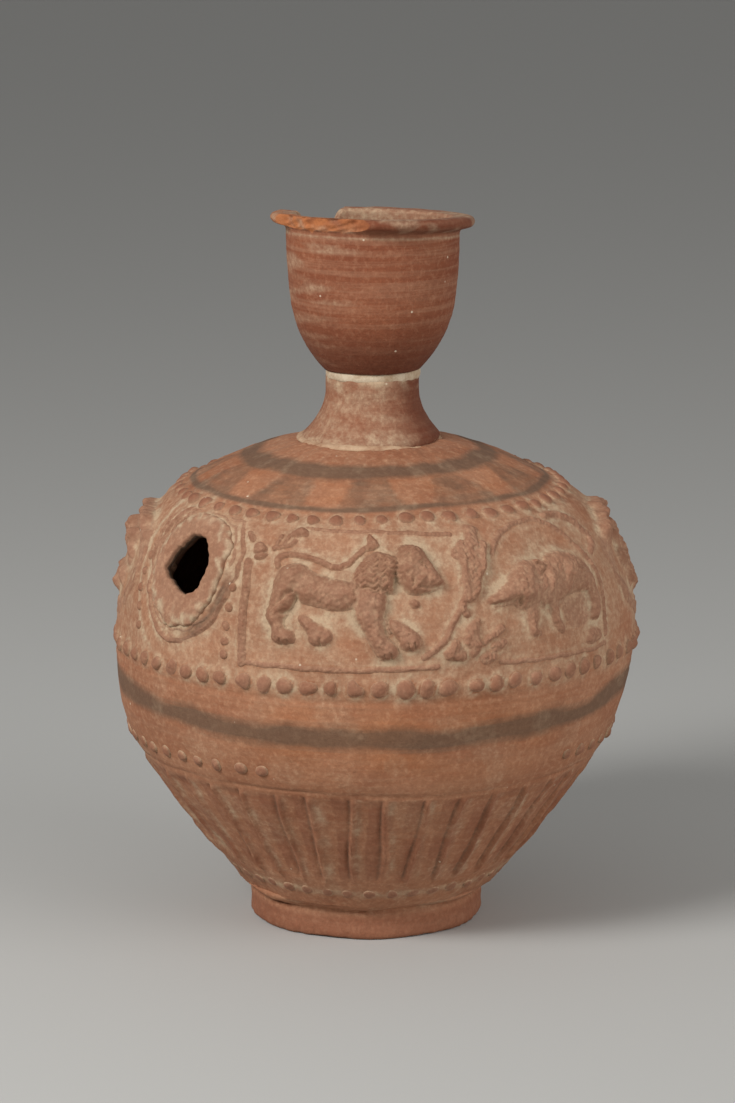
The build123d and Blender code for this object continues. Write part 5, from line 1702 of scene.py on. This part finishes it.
# Section of the plate: share of the way from its edge to the hole, and rise over the wall
plate_rings = []
profile = [(0.0, -0.5), (0.0, 0.6), (0.015, 1.5), (0.05, 1.9), (0.1, 2.2), (0.16, 2.35), (0.25, 2.4)]
profile += [(share, ROUNDEL_PROUD) for share in np.linspace(0.32, 0.9, 10)]
profile += [(0.96, 2.3), (0.985, 2.0), (1.0, 1.6), (1.0, 0.6), (1.0, -0.5)]
for share, rise in profile:
    reach = outer_reach + share * (inner_reach - outer_reach)
    across = hole_middle[0] + reach * np.cos(np.radians(swing))
    up = hole_middle[1] + reach * np.sin(np.radians(swing))
    turn = np.degrees(across / girth(up))
    crumbled = smooth_step(0.45, 0.02, share) * (rise > 0)
    grit = (0.10 * hand_wave(turn, up, 6.0, 101) + 0.06 * hand_wave(turn, up, 2.0, 102)) * (rise > 0)
    grit = grit + crumbled * (0.2 * hand_wave(turn, up, 3.2, 106) - 0.25)
    radius, height = on_line(outside, up, wall_skin(turn, up) + rise + grit)
    crust = smooth_step(0.5, 0.05, share + 0.1 * hand_wave(turn, up, 7.0, 103)) * smooth_step(0.2, 1.5, rise)
    # The hole's throat gets the dark paint: painted shade inside the hole, together with soot
    throat_soot_and_shade = 2.0 if share == 1.0 and rise < 1.0 else NO_PAINT
    crust = crust * np.clip(0.6 + 0.5 * hand_wave(turn, up, 5.0, 107), 0.1, 1.1)
    plate_rings.append(plate.add(place(turn, radius, height), crust=0.9 * crust, paint=throat_soot_and_shade))
plate.sheet(np.stack(plate_rings + [plate_rings[0]]))
plate.fire("roundel_plate_with_hole", ["spout_roundel"], sprig_clay)

# Floor, a hair below the foot so that the two faces don't fight
FLOOR_REACH = 12.0
FLOOR_DROP = 0.0001
floor_mesh = bpy.data.meshes.new("floor")
floor_corners = [(-1, -1), (1, -1), (1, 1), (-1, 1)]
floor_points = [(x * FLOOR_REACH, y * FLOOR_REACH, -FLOOR_DROP) for x, y in floor_corners]
floor_mesh.from_pydata(floor_points, [], [(0, 1, 2, 3)])
floor = bpy.data.objects.new("floor", floor_mesh)
bpy.context.scene.collection.objects.link(floor)
# Uncoated studio paper: plain, pale and without gloss, so that only the shadow shows on it
paper = bpy.data.materials.new("matt_studio_paper")
paper.use_nodes = True
paper.node_tree.nodes["Principled BSDF"].inputs["Base Color"].default_value = linear("#B3B2AE")
paper.node_tree.nodes["Principled BSDF"].inputs["Roughness"].default_value = 0.9
floor_mesh.materials.append(paper)
floor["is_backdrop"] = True

# Camera at the photograph's place: millimetres from the vessel's axis
CAMERA_REACH = 1500.0
CAMERA_HEIGHT = 443.8
AIM_HEIGHT = 131.15
SIDE_STEP = -1.75
FOCUS_PIXELS = 4310.5
PHOTO_HEIGHT = 1103
SENSOR_HEIGHT = 36.0
toward = np.array([np.sin(np.radians(VIEW_AZIMUTH)), -np.cos(np.radians(VIEW_AZIMUTH))])
eye = toward * CAMERA_REACH + ACROSS * SIDE_STEP
aim = ACROSS * SIDE_STEP
camera_data = bpy.data.cameras.new("camera")
camera_data.sensor_fit = "VERTICAL"
camera_data.sensor_height = SENSOR_HEIGHT
camera_data.lens = SENSOR_HEIGHT * FOCUS_PIXELS / PHOTO_HEIGHT
camera = bpy.data.objects.new("camera", camera_data)
camera.location = Vector((eye[0], eye[1], CAMERA_HEIGHT)) * MM
look = Vector((aim[0] - eye[0], aim[1] - eye[1], AIM_HEIGHT - CAMERA_HEIGHT))
camera.rotation_euler = look.to_track_quat("-Z", "Y").to_euler()
bpy.context.scene.collection.objects.link(camera)
bpy.context.scene.camera = camera

# Height that the lamps face, in metres
LAMP_AIM = 0.13


def lamp(name, azimuth, distance, height, size, power):
    """Square studio lamp that faces the vessel: azimuth from the view in degrees, and sizes in metres."""
    data = bpy.data.lights.new(name, "AREA")
    data.size = size
    data.energy = power
    turn = np.radians(VIEW_AZIMUTH + azimuth)
    light = bpy.data.objects.new(name, data)
    light.location = (np.sin(turn) * distance, -np.cos(turn) * distance, height)
    facing = Vector((0.0, 0.0, LAMP_AIM)) - light.location
    light.rotation_euler = facing.to_track_quat("-Z", "Y").to_euler()
    bpy.context.scene.collection.objects.link(light)


lamp("key_lamp", azimuth=-46.0, distance=1.25, height=1.0, size=0.55, power=20.5)
lamp("fill_lamp", azimuth=56.0, distance=1.5, height=0.7, size=1.2, power=12.5)

world = bpy.data.worlds.new("studio")
bpy.context.scene.world = world
world.use_nodes = True
world.node_tree.nodes["Background"].inputs["Color"].default_value = linear("#E6E6E6")
world.node_tree.nodes["Background"].inputs["Strength"].default_value = 0.36
bpy.context.scene.view_settings.view_transform = "Standard"

size = {}
for name, box in (("cad", cad_box), ("visual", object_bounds())):
    size[name] = [[float(number) for number in corner] for corner in box]
